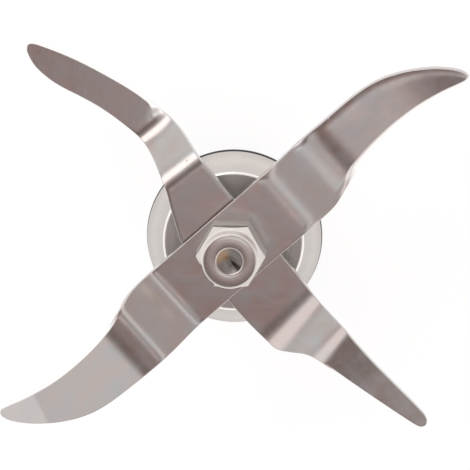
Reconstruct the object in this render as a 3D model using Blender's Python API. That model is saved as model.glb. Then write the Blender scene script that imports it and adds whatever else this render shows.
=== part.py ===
"""Blade unit of a jug food processor, in metres, standing on its drive coupling.

Two crossed blades are clamped on a shaft by a hexagonal nut. The shaft turns in two ball bearings
inside a flanged housing. +Z runs up the shaft, +X along the dropped arm of the upper blade and
+Y along the rear arm of the lower blade. The origin is the centre of the coupling's foot.
"""

from collections import namedtuple
from math import acos, asin, atan2, cos, pi, radians, sin, tan

import bmesh
import bpy
import numpy as np
from mathutils import Matrix, Vector

# Clearances between neighbouring solids
SEAT_GAP = 0.0003
FIT_GAP = 0.00015
LIP_GAP = 0.0002
RACE_GAP = 0.0002

# Blades
BLADE_THICKNESS = 0.0020
CUTTING_EDGE_THICKNESS = 0.0003
GRIND_RUN_IN = 0.0040
BEND_RADIUS = 0.0030
SOFT_BEND_RADIUS = 0.0100
UPPER_HALF_WIDTH = 0.0078
DROPPED_WING_DEPTH = 0.0039
RAISED_WING_HEIGHT = 0.00655
LOWER_WING_DEPTH = 0.0088
GRIND_LIMIT = 0.4
UPPER_GRIND_WIDTH = 0.0014
LOWER_GRIND_WIDTH = 0.0006

# Nut
NUT_ACROSS_FLATS = 0.0130
NUT_HEX_HEIGHT = 0.0070
NUT_HEIGHT = 0.01225
NUT_TURN = radians(18)
NUT_CHAMFER_ANGLE = radians(45)
NUT_NECK_RADIUS = 0.0060
NUT_RING_RADIUS = 0.0056
NUT_THREAD_DEPTH = 0.0068
NUT_DIMPLE_RADIUS = 0.0030
DRILL_POINT_ANGLE = radians(118)

# Shaft
SHAFT_RADIUS = 0.0040
SHAFT_FLAT_HALF_WIDTH = 0.00325
SHAFT_COLLAR_WALL = 0.0016
SHAFT_COLLAR_THICKNESS = 0.0016
SHAFT_END_ROOM = 0.0008
SHAFT_CHAMFER = 0.0005

# Spacer under the blades
SLEEVE_WALL = 0.0020
SLINGER_RADIUS = 0.0095
SLINGER_THICKNESS = 0.0016
SLINGER_CLEARANCE = 0.00215

# Ball bearings
BEARING_WIDTH = 0.0070
INNER_RING_WALL = 0.0019
RING_SPACE = 0.0029
OUTER_RING_WALL = 0.00205
BALL_COUNT = 7
BALL_SEAT_DEPTH = 0.000535
CAGE_CLEARANCE = 0.00075
CAGE_BACK = 0.0008
CAGE_REACH = 0.0008
SPACER_LENGTH = 0.0040
SPACER_WALL = 0.0014

# Lip seal
SEAL_RADIUS = 0.0090
SEAL_HEIGHT = 0.0045
SEAL_WALL = 0.0013
SEAL_TOP_WALL = 0.0011
SEAL_LIP_LENGTH = 0.0020
SEAL_LIP_LAND = 0.0004
SEAL_LIP_WALL = 0.0007
SEAL_RECESS = 0.0011

# Bearing housing
BARREL_WALL = 0.0028
SPIGOT_WALL = 0.00165
SPIGOT_HEIGHT = 0.0064
FLANGE_OVERHANG = 0.0034
FLANGE_LIP = 0.0006
CONE_HEIGHT = 0.0045
CONE_RUN = 0.00406
HOUSING_WEB = 0.0020
WEB_CLEARANCE = 0.0014
HOUSING_FOOT_EDGE = 0.0010
HOUSING_CHAMFER = 0.0005
LUG_COUNT = 3
LUG_HEIGHT = 0.0035
LUG_DROP = 0.0050
LUG_ROOT = 0.0006
LUG_SPAN = radians(36)

# Gasket under the flange
GASKET_THICKNESS = 0.0016

# Retaining ring in the housing
CLIP_THICKNESS = 0.0010
CLIP_DEPTH = 0.0007
CLIP_WALL = 0.0014
CLIP_OPENING = radians(34)
CLIP_EAR_RADIUS = 0.0015
CLIP_EYE_RADIUS = 0.0006

# Drive coupling and its pin
COUPLING_HEIGHT = 0.0110
COUPLING_RADIUS = 0.0090
COUPLING_ROOT_RADIUS = 0.0066
COUPLING_LOBES = 6
LOBE_TIP_ANGLE = radians(9)
LOBE_ROOT_ANGLE = radians(17)
COUPLING_FLOOR = 0.0025
COUPLING_CHAMFER = 0.0006
COUPLING_CLEARANCE = 0.0014
PIN_RADIUS = 0.0010
PIN_HEIGHT = 0.0070
PIN_SETBACK = 0.0003

# Fineness of the round pieces
ROUND_STEPS = 40
RACE_STEPS = 28
GROOVE_STEPS = 4
BALL_SEGMENTS = 10
BALL_RINGS = 7
BEND_STEPS = 4
STATION_STEP = 0.0040
TIP_STEPS = (0.0030, 0.0018, 0.0009, 0.0003)
HUB_REACH = 0.0080

# Levels of the stack, from the foot up
HOUSING_FOOT = COUPLING_HEIGHT + COUPLING_CLEARANCE
CLIP_BOTTOM = HOUSING_FOOT + HOUSING_FOOT_EDGE + FIT_GAP
LOWER_BEARING_BOTTOM = CLIP_BOTTOM + CLIP_THICKNESS + SEAT_GAP
SPACER_BOTTOM = LOWER_BEARING_BOTTOM + BEARING_WIDTH + SEAT_GAP
UPPER_BEARING_BOTTOM = SPACER_BOTTOM + SPACER_LENGTH + SEAT_GAP
BORE_TOP = UPPER_BEARING_BOTTOM + BEARING_WIDTH + SEAT_GAP
SEAL_POCKET_FLOOR = BORE_TOP + HOUSING_WEB
SEAL_BOTTOM = SEAL_POCKET_FLOOR + SEAT_GAP
PLATEAU_TOP = SEAL_BOTTOM + SEAL_HEIGHT + SEAL_RECESS
RIM_TOP = PLATEAU_TOP - CONE_HEIGHT
FLANGE_UNDERSIDE = RIM_TOP - FLANGE_LIP
GASKET_TOP = FLANGE_UNDERSIDE - SEAT_GAP
SPIGOT_BOTTOM = FLANGE_UNDERSIDE - SPIGOT_HEIGHT
LUG_TOP = SPIGOT_BOTTOM - LUG_DROP
SLINGER_BOTTOM = PLATEAU_TOP + SLINGER_CLEARANCE
SLINGER_TOP = SLINGER_BOTTOM + SLINGER_THICKNESS
LOWER_BLADE_TOP = SLINGER_TOP + SEAT_GAP + BLADE_THICKNESS
UPPER_BLADE_TOP = LOWER_BLADE_TOP + SEAT_GAP + BLADE_THICKNESS
NUT_BOTTOM = UPPER_BLADE_TOP + SEAT_GAP
SHAFT_BOTTOM = COUPLING_FLOOR + SEAT_GAP
SHAFT_TOP = NUT_BOTTOM + NUT_THREAD_DEPTH - SHAFT_END_ROOM

# Radii of the fits
SHAFT_BORE_RADIUS = SHAFT_RADIUS + FIT_GAP
SLEEVE_RADIUS = SHAFT_RADIUS + SLEEVE_WALL
INNER_SHOULDER_RADIUS = SHAFT_BORE_RADIUS + INNER_RING_WALL
OUTER_SHOULDER_RADIUS = INNER_SHOULDER_RADIUS + RING_SPACE
BEARING_RADIUS = OUTER_SHOULDER_RADIUS + OUTER_RING_WALL
BALL_CIRCLE_RADIUS = (INNER_SHOULDER_RADIUS + OUTER_SHOULDER_RADIUS) / 2
BALL_RADIUS = RING_SPACE / 2 + BALL_SEAT_DEPTH
BORE_RADIUS = BEARING_RADIUS + FIT_GAP
BARREL_RADIUS = BORE_RADIUS + BARREL_WALL
CLIP_GROOVE_RADIUS = BORE_RADIUS + CLIP_DEPTH
CLIP_RADIUS = CLIP_GROOVE_RADIUS - FIT_GAP
SEAL_POCKET_RADIUS = SEAL_RADIUS + FIT_GAP
SPIGOT_RADIUS = BARREL_RADIUS + SPIGOT_WALL
FLANGE_RADIUS = SPIGOT_RADIUS + FLANGE_OVERHANG
PLATEAU_RADIUS = FLANGE_RADIUS - CONE_RUN

# An arm is laid out in its own directions: reach runs out from the shaft's axis, square to its
# bends, and offset runs to its left. Each edge is a smooth curve through (reach, offset) points.
# The right edge of every arm is its leading edge and is ground from the second bend to the tip.
Arm = namedtuple("Arm", "heading first_bend second_bend rise level_run wing_angle left right")

DROPPED_ARM = Arm(
    heading=0.0, first_bend=0.0154, second_bend=0.0268,
    rise=-DROPPED_WING_DEPTH, level_run=0.0035, wing_angle=radians(-2),
    left=(
        (0.0154, UPPER_HALF_WIDTH), (0.0240, UPPER_HALF_WIDTH), (0.0330, 0.0077), (0.0420, 0.0075),
        (0.0478, 0.0065), (0.0530, 0.0043), (0.0575, 0.0014), (0.0605, -0.0013), (0.0623, -0.0034),
        (0.0628, -0.0048)),
    right=(
        (0.0154, -UPPER_HALF_WIDTH), (0.0222, -UPPER_HALF_WIDTH), (0.0265, -0.0067), (0.0310, -0.0054),
        (0.0370, -0.0044), (0.0440, -0.0040), (0.0500, -0.0043), (0.0560, -0.0053), (0.0608, -0.0065),
        (0.0622, -0.0066), (0.0628, -0.0059)))
RAISED_ARM = DROPPED_ARM._replace(
    heading=pi, second_bend=0.0263, rise=RAISED_WING_HEIGHT, level_run=0.0048, wing_angle=radians(-15))
REAR_ARM = Arm(
    heading=radians(86), first_bend=0.0193, second_bend=0.0302,
    rise=-LOWER_WING_DEPTH, level_run=0.0, wing_angle=radians(-3),
    left=(
        (0.0075, 0.0083), (0.0145, 0.0055), (0.0193, 0.0035), (0.0250, 0.0023), (0.0300, 0.0024),
        (0.0355, 0.0036), (0.0406, 0.0052), (0.0450, 0.0071), (0.0494, 0.0092), (0.0530, 0.0104),
        (0.0565, 0.0109), (0.0596, 0.0104), (0.0608, 0.0095)),
    right=(
        (0.0085, -0.0068), (0.0193, -0.0063), (0.0268, -0.0061), (0.0323, -0.0049), (0.0377, -0.0035),
        (0.0425, -0.0017), (0.0492, 0.0013), (0.0545, 0.0041), (0.0594, 0.0072), (0.0606, 0.0083),
        (0.0608, 0.0088)))
FRONT_ARM = Arm(
    heading=radians(-82), first_bend=0.0194, second_bend=0.0328,
    rise=-LOWER_WING_DEPTH, level_run=0.0, wing_angle=radians(-3),
    left=(
        (0.0095, 0.0055), (0.0179, 0.0038), (0.0263, 0.0017), (0.0333, 0.0001), (0.0400, -0.0010),
        (0.0464, -0.0018), (0.0528, -0.0025), (0.0570, -0.0031), (0.0584, -0.0036), (0.0590, -0.0044)),
    right=(
        (0.0073, -0.0097), (0.0128, -0.0105), (0.0191, -0.0111), (0.0216, -0.0113), (0.0245, -0.0102),
        (0.0272, -0.0090), (0.0300, -0.0085), (0.0374, -0.0081), (0.0454, -0.0075), (0.0535, -0.0068),
        (0.0576, -0.0063), (0.0588, -0.0056), (0.0590, -0.0050)))

# Finishes: colour, roughness, metallic
STAMPED_STEEL = ((0.55, 0.53, 0.51), 0.28, 1.0)
TURNED_STEEL = ((0.60, 0.58, 0.56), 0.24, 1.0)
BEARING_STEEL = ((0.46, 0.46, 0.47), 0.20, 1.0)
CAGE_BRASS = ((0.42, 0.33, 0.18), 0.35, 1.0)
DARK_RUBBER = ((0.03, 0.03, 0.03), 0.70, 0.0)
DARK_PLASTIC = ((0.05, 0.05, 0.05), 0.50, 0.0)


def clear_scene():
    for obj in list(bpy.data.objects):
        bpy.data.objects.remove(obj, do_unlink=True)


def make_material(name, finish):
    colour, roughness, metallic = finish
    material = bpy.data.materials.new(name)
    material.use_nodes = True
    shader = material.node_tree.nodes["Principled BSDF"]
    shader.inputs["Base Color"].default_value = (*colour, 1.0)
    shader.inputs["Roughness"].default_value = roughness
    shader.inputs["Metallic"].default_value = metallic
    return material


def make_mesh(name, bm):
    bmesh.ops.recalc_face_normals(bm, faces=bm.faces)
    mesh = bpy.data.meshes.new(name)
    bm.to_mesh(mesh)
    bm.free()
    return mesh


def add_object(name, bm, finish, carrier):
    """Turns a bmesh into a named object, shaded smooth up to its sharp edges."""
    mesh = make_mesh(name, bm)
    mesh.shade_smooth()
    mesh.set_sharp_from_angle(angle=radians(35))
    obj = bpy.data.objects.new(name, mesh)
    bpy.context.scene.collection.objects.link(obj)
    obj.data.materials.append(make_material(name + "_finish", finish))
    obj.parent = carrier
    return obj


def add_carrier(name):
    """An empty on the shaft's axis that carries the pieces of one body."""
    carrier = bpy.data.objects.new(name, None)
    bpy.context.scene.collection.objects.link(carrier)
    return carrier


def combine(target, bm, name, operation):
    """Cuts, joins or intersects an object with a shape through a live Boolean modifier."""
    shape = bpy.data.objects.new(name, make_mesh(name, bm))
    bpy.context.scene.collection.objects.link(shape)
    shape.hide_render = True
    shape.display_type = "WIRE"
    modifier = target.modifiers.new(name, "BOOLEAN")
    modifier.operation = operation
    modifier.solver = "EXACT"
    modifier.object = shape


def turned(section, steps=ROUND_STEPS):
    """Spins a section of (radius, height) points; one that starts on the axis ends there too."""
    bm = bmesh.new()
    points = [bm.verts.new((radius, 0.0, height)) for radius, height in section]
    following = points[1:] if section[0][0] == 0.0 else points[1:] + points[:1]
    edges = [bm.edges.new(pair) for pair in zip(points, following)]
    bmesh.ops.spin(
        bm, geom=points + edges, cent=(0, 0, 0), axis=(0, 0, 1), angle=2 * pi, steps=steps, use_merge=True)
    bmesh.ops.remove_doubles(bm, verts=bm.verts, dist=1e-6)
    return bm


def tube(inner, outer, bottom, top, steps=ROUND_STEPS):
    return turned([(inner, bottom), (outer, bottom), (outer, top), (inner, top)], steps)


def lofted(sections):
    """Joins rings of points, each as long as the last, into one body with closed ends."""
    bm = bmesh.new()
    rings = [[bm.verts.new(point) for point in section] for section in sections]
    for ring, following in zip(rings, rings[1:]):
        for here, there in zip(range(-1, len(ring) - 1), range(len(ring))):
            bm.faces.new((ring[here], ring[there], following[there], following[here]))
    bm.faces.new(rings[0])
    bm.faces.new(rings[-1])
    return bm


def prism(outline, bottom, top, foot_chamfer=0.0):
    """Raises a plan outline of (x, y) points, with an optional chamfer round its foot."""
    widest = max(Vector(point).length for point in outline)
    levels = [(bottom + foot_chamfer, 1.0), (top, 1.0)]
    if foot_chamfer > 0:
        levels.insert(0, (bottom, 1 - foot_chamfer / widest))
    return lofted([[(scale * x, scale * y, height) for x, y in outline] for height, scale in levels])


def arc(radius, start, end, steps):
    return [(radius * cos(start + (end - start) * k / steps), radius * sin(start + (end - start) * k / steps))
            for k in range(steps + 1)]


def sector_outline(inner, outer, middle, span, steps):
    """Plan outline of part of a ring."""
    start, end = middle - span / 2, middle + span / 2
    return arc(outer, start, end, steps) + arc(inner, end, start, steps)


def double_d_outline(radius, half_width, steps=8):
    """Plan outline of a round bar with two flats that face +Y and -Y."""
    limit = asin(half_width / radius)
    return arc(radius, -limit, limit, steps) + arc(radius, pi - limit, pi + limit, steps)


def add_bar(bm, radius, length, centre, axis, steps=16):
    """Adds a round bar along a direction to a bmesh."""
    turn = Vector((0, 0, 1)).rotation_difference(Vector(axis)).to_matrix().to_4x4()
    bmesh.ops.create_cone(
        bm, cap_ends=True, segments=steps, radius1=radius, radius2=radius, depth=length,
        matrix=Matrix.Translation(centre) @ turn)
    return bm


def edge_curve(points, samples=12):
    """Smooth curve through an edge's points, read as offset over reach."""
    knots = [np.array(point) for point in points]
    knots = [2 * knots[0] - knots[1], *knots, 2 * knots[-1] - knots[-2]]
    curve = []
    for before, start, end, after in zip(knots, knots[1:], knots[2:], knots[3:]):
        square = 2 * before - 5 * start + 4 * end - after
        cube = 3 * start - before - 3 * end + after
        for t in np.linspace(0, 1, samples, endpoint=False):
            curve.append(start + ((end - before) * t + square * t**2 + cube * t**3) / 2)
    curve.append(knots[-2])
    reach, offset = np.array(curve).T
    return lambda at: float(np.interp(at, reach, offset))


def bend_arc(corner, before, after, radius):
    """Points (reach, height, slope) round one bend of the sheet's middle line."""
    back = radius * tan(abs(after - before) / 2)
    side = 1.0 if after > before else -1.0
    start = (corner[0] - back * cos(before), corner[1] - back * sin(before))
    centre = (start[0] - side * radius * sin(before), start[1] + side * radius * cos(before))
    slopes = [before + (after - before) * k / BEND_STEPS for k in range(BEND_STEPS + 1)]
    return [(centre[0] + side * radius * sin(s), centre[1] - side * radius * cos(s), s) for s in slopes]


def middle_line(arm):
    """The sheet's middle line from hub to tip, as (reach, height, slope) points."""
    ramp_angle = atan2(arm.rise, arm.second_bend - arm.first_bend)
    line = [(HUB_REACH, 0.0, 0.0)]
    line += bend_arc((arm.first_bend, 0.0), 0.0, ramp_angle, BEND_RADIUS)
    if arm.level_run > 0:
        line += bend_arc((arm.second_bend, arm.rise), ramp_angle, 0.0, BEND_RADIUS)
        line += bend_arc((arm.second_bend + arm.level_run, arm.rise), 0.0, arm.wing_angle, SOFT_BEND_RADIUS)
    else:
        line += bend_arc((arm.second_bend, arm.rise), ramp_angle, arm.wing_angle, BEND_RADIUS)
    reach, height, slope = line[-1]
    tip = arm.left[-1][0]
    for at in [tip - back for back in TIP_STEPS] + [tip]:
        line.append((at, height + (at - reach) * tan(slope), slope))
    filled = [line[0]]
    for before, after in zip(line, line[1:]):
        pieces = max(1, int(np.ceil((after[0] - before[0]) / STATION_STEP)))
        run = [(1 - k / pieces) * np.array(before) + k / pieces * np.array(after) for k in range(1, pieces)]
        filled += [(reach, height, after[2]) for reach, height, _ in run] + [after]
    return filled


def arm_sections(arm, mid_height, grind_width, outward):
    """Cross-sections of an arm, hub to tip, or tip to hub with the sides swapped."""
    left, right = edge_curve(arm.left), edge_curve(arm.right)
    along = Vector((cos(arm.heading), sin(arm.heading), 0))
    across = Vector((-sin(arm.heading), cos(arm.heading), 0))
    sections = []
    for reach, height, slope in middle_line(arm):
        up = Vector((0, 0, cos(slope))) - sin(slope) * along
        middle = reach * along + Vector((0, 0, mid_height + height))
        plain = side_points(middle, left(reach), right(reach), across, up, grind_width, 0.0)
        share_ground = min(1.0, max(0.0, (reach - arm.second_bend) / GRIND_RUN_IN))
        ground = side_points(middle, right(reach), left(reach), across, up, grind_width, share_ground)
        sections.append(plain + ground[::-1] if outward else ground + plain[::-1])
    return sections if outward else sections[::-1]


def side_points(middle, offset, far_offset, across, up, grind_width, share_ground):
    """Underside, edge and shoulder of the sheet at one of its two sides."""
    half = 0.5 * BLADE_THICKNESS * up
    width = abs(far_offset - offset)
    inset = min(grind_width, GRIND_LIMIT * width) * (1 if far_offset > offset else -1)
    side = middle + offset * across
    ground_away = share_ground * (BLADE_THICKNESS - CUTTING_EDGE_THICKNESS) * up
    return [side - half, side + half - ground_away, side + inset * across + half]


def make_blade(name, top, first_arm, second_arm, grind_width, carrier):
    """One stamped strip with two bent arms and a keyed hole for the shaft."""
    mid_height = top - BLADE_THICKNESS / 2
    sections = arm_sections(first_arm, mid_height, grind_width, outward=False)
    sections += arm_sections(second_arm, mid_height, grind_width, outward=True)
    strip = add_object(name, lofted(sections), STAMPED_STEEL, carrier)
    keyed_hole = double_d_outline(SHAFT_BORE_RADIUS, SHAFT_FLAT_HALF_WIDTH + FIT_GAP)
    hole = prism(keyed_hole, top - 2 * BLADE_THICKNESS, top + BLADE_THICKNESS)
    combine(strip, hole, name + "_hole", "DIFFERENCE")


def make_nut(carrier):
    """Hexagonal nut with a chamfer, a short neck, a ring face and a drilled dimple."""
    corner = NUT_ACROSS_FLATS / 2 / cos(pi / 6)
    shoulder = NUT_BOTTOM + NUT_HEX_HEIGHT
    neck_foot = shoulder + (corner - NUT_NECK_RADIUS) * tan(NUT_CHAMFER_ANGLE)
    top = NUT_BOTTOM + NUT_HEIGHT
    thread_top = NUT_BOTTOM + NUT_THREAD_DEPTH
    point_rise = SHAFT_BORE_RADIUS / tan(DRILL_POINT_ANGLE / 2)
    dimple_depth = NUT_DIMPLE_RADIUS / tan(DRILL_POINT_ANGLE / 2)
    edge_break = NUT_NECK_RADIUS - NUT_RING_RADIUS
    bm = turned([
        (0.0, thread_top + point_rise), (SHAFT_BORE_RADIUS, thread_top), (SHAFT_BORE_RADIUS, NUT_BOTTOM),
        (corner, NUT_BOTTOM), (corner, shoulder), (NUT_NECK_RADIUS, neck_foot),
        (NUT_NECK_RADIUS, top - edge_break), (NUT_RING_RADIUS, top), (NUT_DIMPLE_RADIUS, top),
        (0.0, top - dimple_depth)])
    nut = add_object("blade_nut", bm, TURNED_STEEL, carrier)
    corners = arc(corner, NUT_TURN, NUT_TURN + 5 * pi / 3, 5)
    hexagon = prism(corners, NUT_BOTTOM - SEAT_GAP, top + SEAT_GAP)
    combine(nut, hexagon, "nut_hexagon", "INTERSECT")


def make_shaft(carrier):
    """Shaft with a collar under the bearings, a cross hole below and two flats above."""
    collar_top = LOWER_BEARING_BOTTOM - SEAT_GAP
    collar_bottom = collar_top - SHAFT_COLLAR_THICKNESS
    collar_radius = SHAFT_RADIUS + SHAFT_COLLAR_WALL
    end_radius = SHAFT_RADIUS - SHAFT_CHAMFER
    bm = turned([
        (0.0, SHAFT_BOTTOM), (end_radius, SHAFT_BOTTOM), (SHAFT_RADIUS, SHAFT_BOTTOM + SHAFT_CHAMFER),
        (SHAFT_RADIUS, collar_bottom), (collar_radius, collar_bottom), (collar_radius, collar_top),
        (SHAFT_RADIUS, collar_top), (SHAFT_RADIUS, SHAFT_TOP - SHAFT_CHAMFER), (end_radius, SHAFT_TOP),
        (0.0, SHAFT_TOP)])
    shaft = add_object("drive_shaft", bm, TURNED_STEEL, carrier)
    for index, side in enumerate((1, -1)):
        flat = bmesh.new()
        depth = SHAFT_RADIUS
        centre_height = (SLINGER_BOTTOM + SHAFT_TOP + depth) / 2
        size = (4 * SHAFT_RADIUS, depth, SHAFT_TOP + depth - SLINGER_BOTTOM)
        place = Matrix.Translation((0, side * (SHAFT_FLAT_HALF_WIDTH + depth / 2), centre_height))
        bmesh.ops.create_cube(flat, size=1.0, matrix=place @ Matrix.Diagonal((*size, 1.0)))
        combine(shaft, flat, f"shaft_flat_{index}", "DIFFERENCE")
    cross_hole = add_bar(bmesh.new(), PIN_RADIUS + FIT_GAP, 4 * SHAFT_RADIUS, (0, 0, PIN_HEIGHT), (1, 0, 0))
    combine(shaft, cross_hole, "shaft_cross_hole", "DIFFERENCE")


def make_blade_spacer(carrier):
    """Sleeve that the seal runs on, with a thrower disc that carries the blades."""
    bm = turned([
        (SHAFT_BORE_RADIUS, BORE_TOP), (SLEEVE_RADIUS, BORE_TOP), (SLEEVE_RADIUS, SLINGER_BOTTOM),
        (SLINGER_RADIUS, SLINGER_BOTTOM), (SLINGER_RADIUS, SLINGER_TOP), (SHAFT_BORE_RADIUS, SLINGER_TOP)])
    add_object("blade_spacer", bm, TURNED_STEEL, carrier)


def groove(side, middle):
    """Section of the ball groove, rising, in the outer ring (side 1) or the inner ring (side -1)."""
    radius = BALL_RADIUS + RACE_GAP
    half_angle = acos(RING_SPACE / 2 / radius)
    angles = [half_angle * (2 * k / GROOVE_STEPS - 1) for k in range(GROOVE_STEPS + 1)]
    return [(BALL_CIRCLE_RADIUS + side * radius * cos(a), middle + radius * sin(a)) for a in angles]


def make_bearing(prefix, bottom, housing, rotor):
    """One ball bearing; its cage and balls ride on a carrier of their own."""
    top = bottom + BEARING_WIDTH
    middle = bottom + BEARING_WIDTH / 2
    outer = [(OUTER_SHOULDER_RADIUS, top), (BEARING_RADIUS, top)]
    outer += [(BEARING_RADIUS, bottom), (OUTER_SHOULDER_RADIUS, bottom)]
    outer += groove(1, middle)
    add_object(prefix + "_outer_ring", turned(outer), BEARING_STEEL, housing)
    inner = [(INNER_SHOULDER_RADIUS, top), (SHAFT_BORE_RADIUS, top)]
    inner += [(SHAFT_BORE_RADIUS, bottom), (INNER_SHOULDER_RADIUS, bottom)]
    inner += groove(-1, middle)
    add_object(prefix + "_inner_ring", turned(inner, RACE_STEPS), BEARING_STEEL, rotor)
    carrier = add_carrier(prefix + "_cage_axis")
    pocket_radius = BALL_RADIUS + RACE_GAP
    back = middle - pocket_radius - CAGE_BACK
    cage_inner = INNER_SHOULDER_RADIUS + CAGE_CLEARANCE
    cage_outer = OUTER_SHOULDER_RADIUS - CAGE_CLEARANCE
    crown = tube(cage_inner, cage_outer, back, middle + CAGE_REACH, 4 * BALL_COUNT)
    cage = add_object(prefix + "_cage", crown, CAGE_BRASS, carrier)
    for index in range(BALL_COUNT):
        angle = 2 * pi * index / BALL_COUNT
        centre = (BALL_CIRCLE_RADIUS * cos(angle), BALL_CIRCLE_RADIUS * sin(angle), middle)
        pocket = bmesh.new()
        bmesh.ops.create_uvsphere(
            pocket, u_segments=BALL_SEGMENTS, v_segments=BALL_RINGS, radius=pocket_radius,
            matrix=Matrix.Translation(centre))
        combine(cage, pocket, f"{prefix}_pocket_{index}", "DIFFERENCE")
        ball = bmesh.new()
        bmesh.ops.create_uvsphere(
            ball, u_segments=BALL_SEGMENTS, v_segments=BALL_RINGS, radius=BALL_RADIUS,
            matrix=Matrix.Translation(centre))
        add_object(f"{prefix}_ball_{index + 1}", ball, BEARING_STEEL, carrier)


def make_spacers(housing, rotor):
    """The two tubes that hold the bearings apart."""
    top = SPACER_BOTTOM + SPACER_LENGTH
    inner = tube(SHAFT_BORE_RADIUS, SHAFT_BORE_RADIUS + SPACER_WALL, SPACER_BOTTOM, top, RACE_STEPS)
    add_object("inner_bearing_spacer", inner, TURNED_STEEL, rotor)
    outer = tube(BEARING_RADIUS - SPACER_WALL, BEARING_RADIUS, SPACER_BOTTOM, top)
    add_object("outer_bearing_spacer", outer, TURNED_STEEL, housing)


def make_shaft_seal(carrier):
    """Lip seal pressed into the plateau, with its lip on the spacer's sleeve."""
    top = SEAL_BOTTOM + SEAL_HEIGHT
    lip = SLEEVE_RADIUS + LIP_GAP
    underside = top - SEAL_TOP_WALL
    inside = SEAL_RADIUS - SEAL_WALL
    bm = turned([
        (SEAL_RADIUS, SEAL_BOTTOM), (SEAL_RADIUS, top), (lip + SEAL_LIP_WALL, top),
        (lip, top - SEAL_LIP_LENGTH + SEAL_LIP_LAND), (lip, top - SEAL_LIP_LENGTH),
        (lip + 1.5 * SEAL_LIP_WALL, underside), (inside, underside), (inside, SEAL_BOTTOM)])
    add_object("shaft_seal", bm, DARK_RUBBER, carrier)


def make_housing(carrier):
    """Turned bearing housing: barrel, spigot, flange with its cone, plateau and bayonet lugs."""
    web_radius = SLEEVE_RADIUS + WEB_CLEARANCE
    groove_bottom = CLIP_BOTTOM - FIT_GAP
    groove_top = CLIP_BOTTOM + CLIP_THICKNESS + FIT_GAP
    bm = turned([
        (BORE_RADIUS, HOUSING_FOOT), (BARREL_RADIUS - HOUSING_CHAMFER, HOUSING_FOOT),
        (BARREL_RADIUS, HOUSING_FOOT + HOUSING_CHAMFER), (BARREL_RADIUS, SPIGOT_BOTTOM),
        (SPIGOT_RADIUS, SPIGOT_BOTTOM), (SPIGOT_RADIUS, FLANGE_UNDERSIDE), (FLANGE_RADIUS, FLANGE_UNDERSIDE),
        (FLANGE_RADIUS, RIM_TOP), (PLATEAU_RADIUS, PLATEAU_TOP), (SEAL_POCKET_RADIUS, PLATEAU_TOP),
        (SEAL_POCKET_RADIUS, SEAL_POCKET_FLOOR), (web_radius, SEAL_POCKET_FLOOR), (web_radius, BORE_TOP),
        (BORE_RADIUS, BORE_TOP), (BORE_RADIUS, groove_top), (CLIP_GROOVE_RADIUS, groove_top),
        (CLIP_GROOVE_RADIUS, groove_bottom), (BORE_RADIUS, groove_bottom)])
    housing = add_object("bearing_housing", bm, TURNED_STEEL, carrier)
    for index in range(LUG_COUNT):
        outline = sector_outline(
            BARREL_RADIUS - LUG_ROOT, SPIGOT_RADIUS, 2 * pi * index / LUG_COUNT, LUG_SPAN, steps=5)
        combine(housing, prism(outline, LUG_TOP - LUG_HEIGHT, LUG_TOP), f"lug_{index}", "UNION")


def make_gasket(carrier):
    bm = tube(SPIGOT_RADIUS + SEAT_GAP, FLANGE_RADIUS, GASKET_TOP - GASKET_THICKNESS, GASKET_TOP)
    add_object("flange_gasket", bm, DARK_RUBBER, carrier)


def make_housing_clip(carrier):
    """Spring ring in the housing's groove, with two drilled ears."""
    inner = CLIP_RADIUS - CLIP_WALL
    top = CLIP_BOTTOM + CLIP_THICKNESS
    outline = sector_outline(inner, CLIP_RADIUS, pi, 2 * pi - CLIP_OPENING, steps=30)
    clip = add_object("housing_clip", prism(outline, CLIP_BOTTOM, top), BEARING_STEEL, carrier)
    ear_circle = inner - CLIP_EAR_RADIUS / 3
    ear_angle = CLIP_OPENING / 2 + CLIP_EAR_RADIUS / ear_circle / 2
    middle = CLIP_BOTTOM + CLIP_THICKNESS / 2
    for index, side in enumerate((1, -1)):
        centre = (ear_circle * cos(ear_angle), side * ear_circle * sin(ear_angle), middle)
        ear = add_bar(bmesh.new(), CLIP_EAR_RADIUS, CLIP_THICKNESS, centre, (0, 0, 1))
        combine(clip, ear, f"clip_ear_{index}", "UNION")
        eye = add_bar(bmesh.new(), CLIP_EYE_RADIUS, 3 * CLIP_THICKNESS, centre, (0, 0, 1), steps=10)
        combine(clip, eye, f"clip_eye_{index}", "DIFFERENCE")


def make_coupling(carrier):
    """Driven star with a blind bore for the shaft and a cross hole in two of its valleys."""
    outline = []
    for index in range(COUPLING_LOBES):
        middle = 2 * pi * (index + 0.5) / COUPLING_LOBES
        for turn, radius in (
                (-LOBE_ROOT_ANGLE, COUPLING_ROOT_RADIUS), (-LOBE_TIP_ANGLE, COUPLING_RADIUS),
                (LOBE_TIP_ANGLE, COUPLING_RADIUS), (LOBE_ROOT_ANGLE, COUPLING_ROOT_RADIUS)):
            outline.append((radius * cos(middle + turn), radius * sin(middle + turn)))
    star = add_object(
        "drive_coupling", prism(outline, 0.0, COUPLING_HEIGHT, COUPLING_CHAMFER), DARK_PLASTIC, carrier)
    bore_length = 2 * (COUPLING_HEIGHT - COUPLING_FLOOR)
    bore_centre = (0, 0, COUPLING_FLOOR + bore_length / 2)
    bore = add_bar(bmesh.new(), SHAFT_BORE_RADIUS, bore_length, bore_centre, (0, 0, 1), ROUND_STEPS)
    combine(star, bore, "coupling_bore", "DIFFERENCE")
    cross_hole = add_bar(
        bmesh.new(), PIN_RADIUS + FIT_GAP, 4 * COUPLING_RADIUS, (0, 0, PIN_HEIGHT), (1, 0, 0))
    combine(star, cross_hole, "coupling_cross_hole", "DIFFERENCE")
    valley = COUPLING_ROOT_RADIUS * cos(pi / COUPLING_LOBES - LOBE_ROOT_ANGLE)
    pin = add_bar(bmesh.new(), PIN_RADIUS, 2 * (valley - PIN_SETBACK), (0, 0, PIN_HEIGHT), (1, 0, 0))
    add_object("coupling_pin", pin, BEARING_STEEL, carrier)


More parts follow.
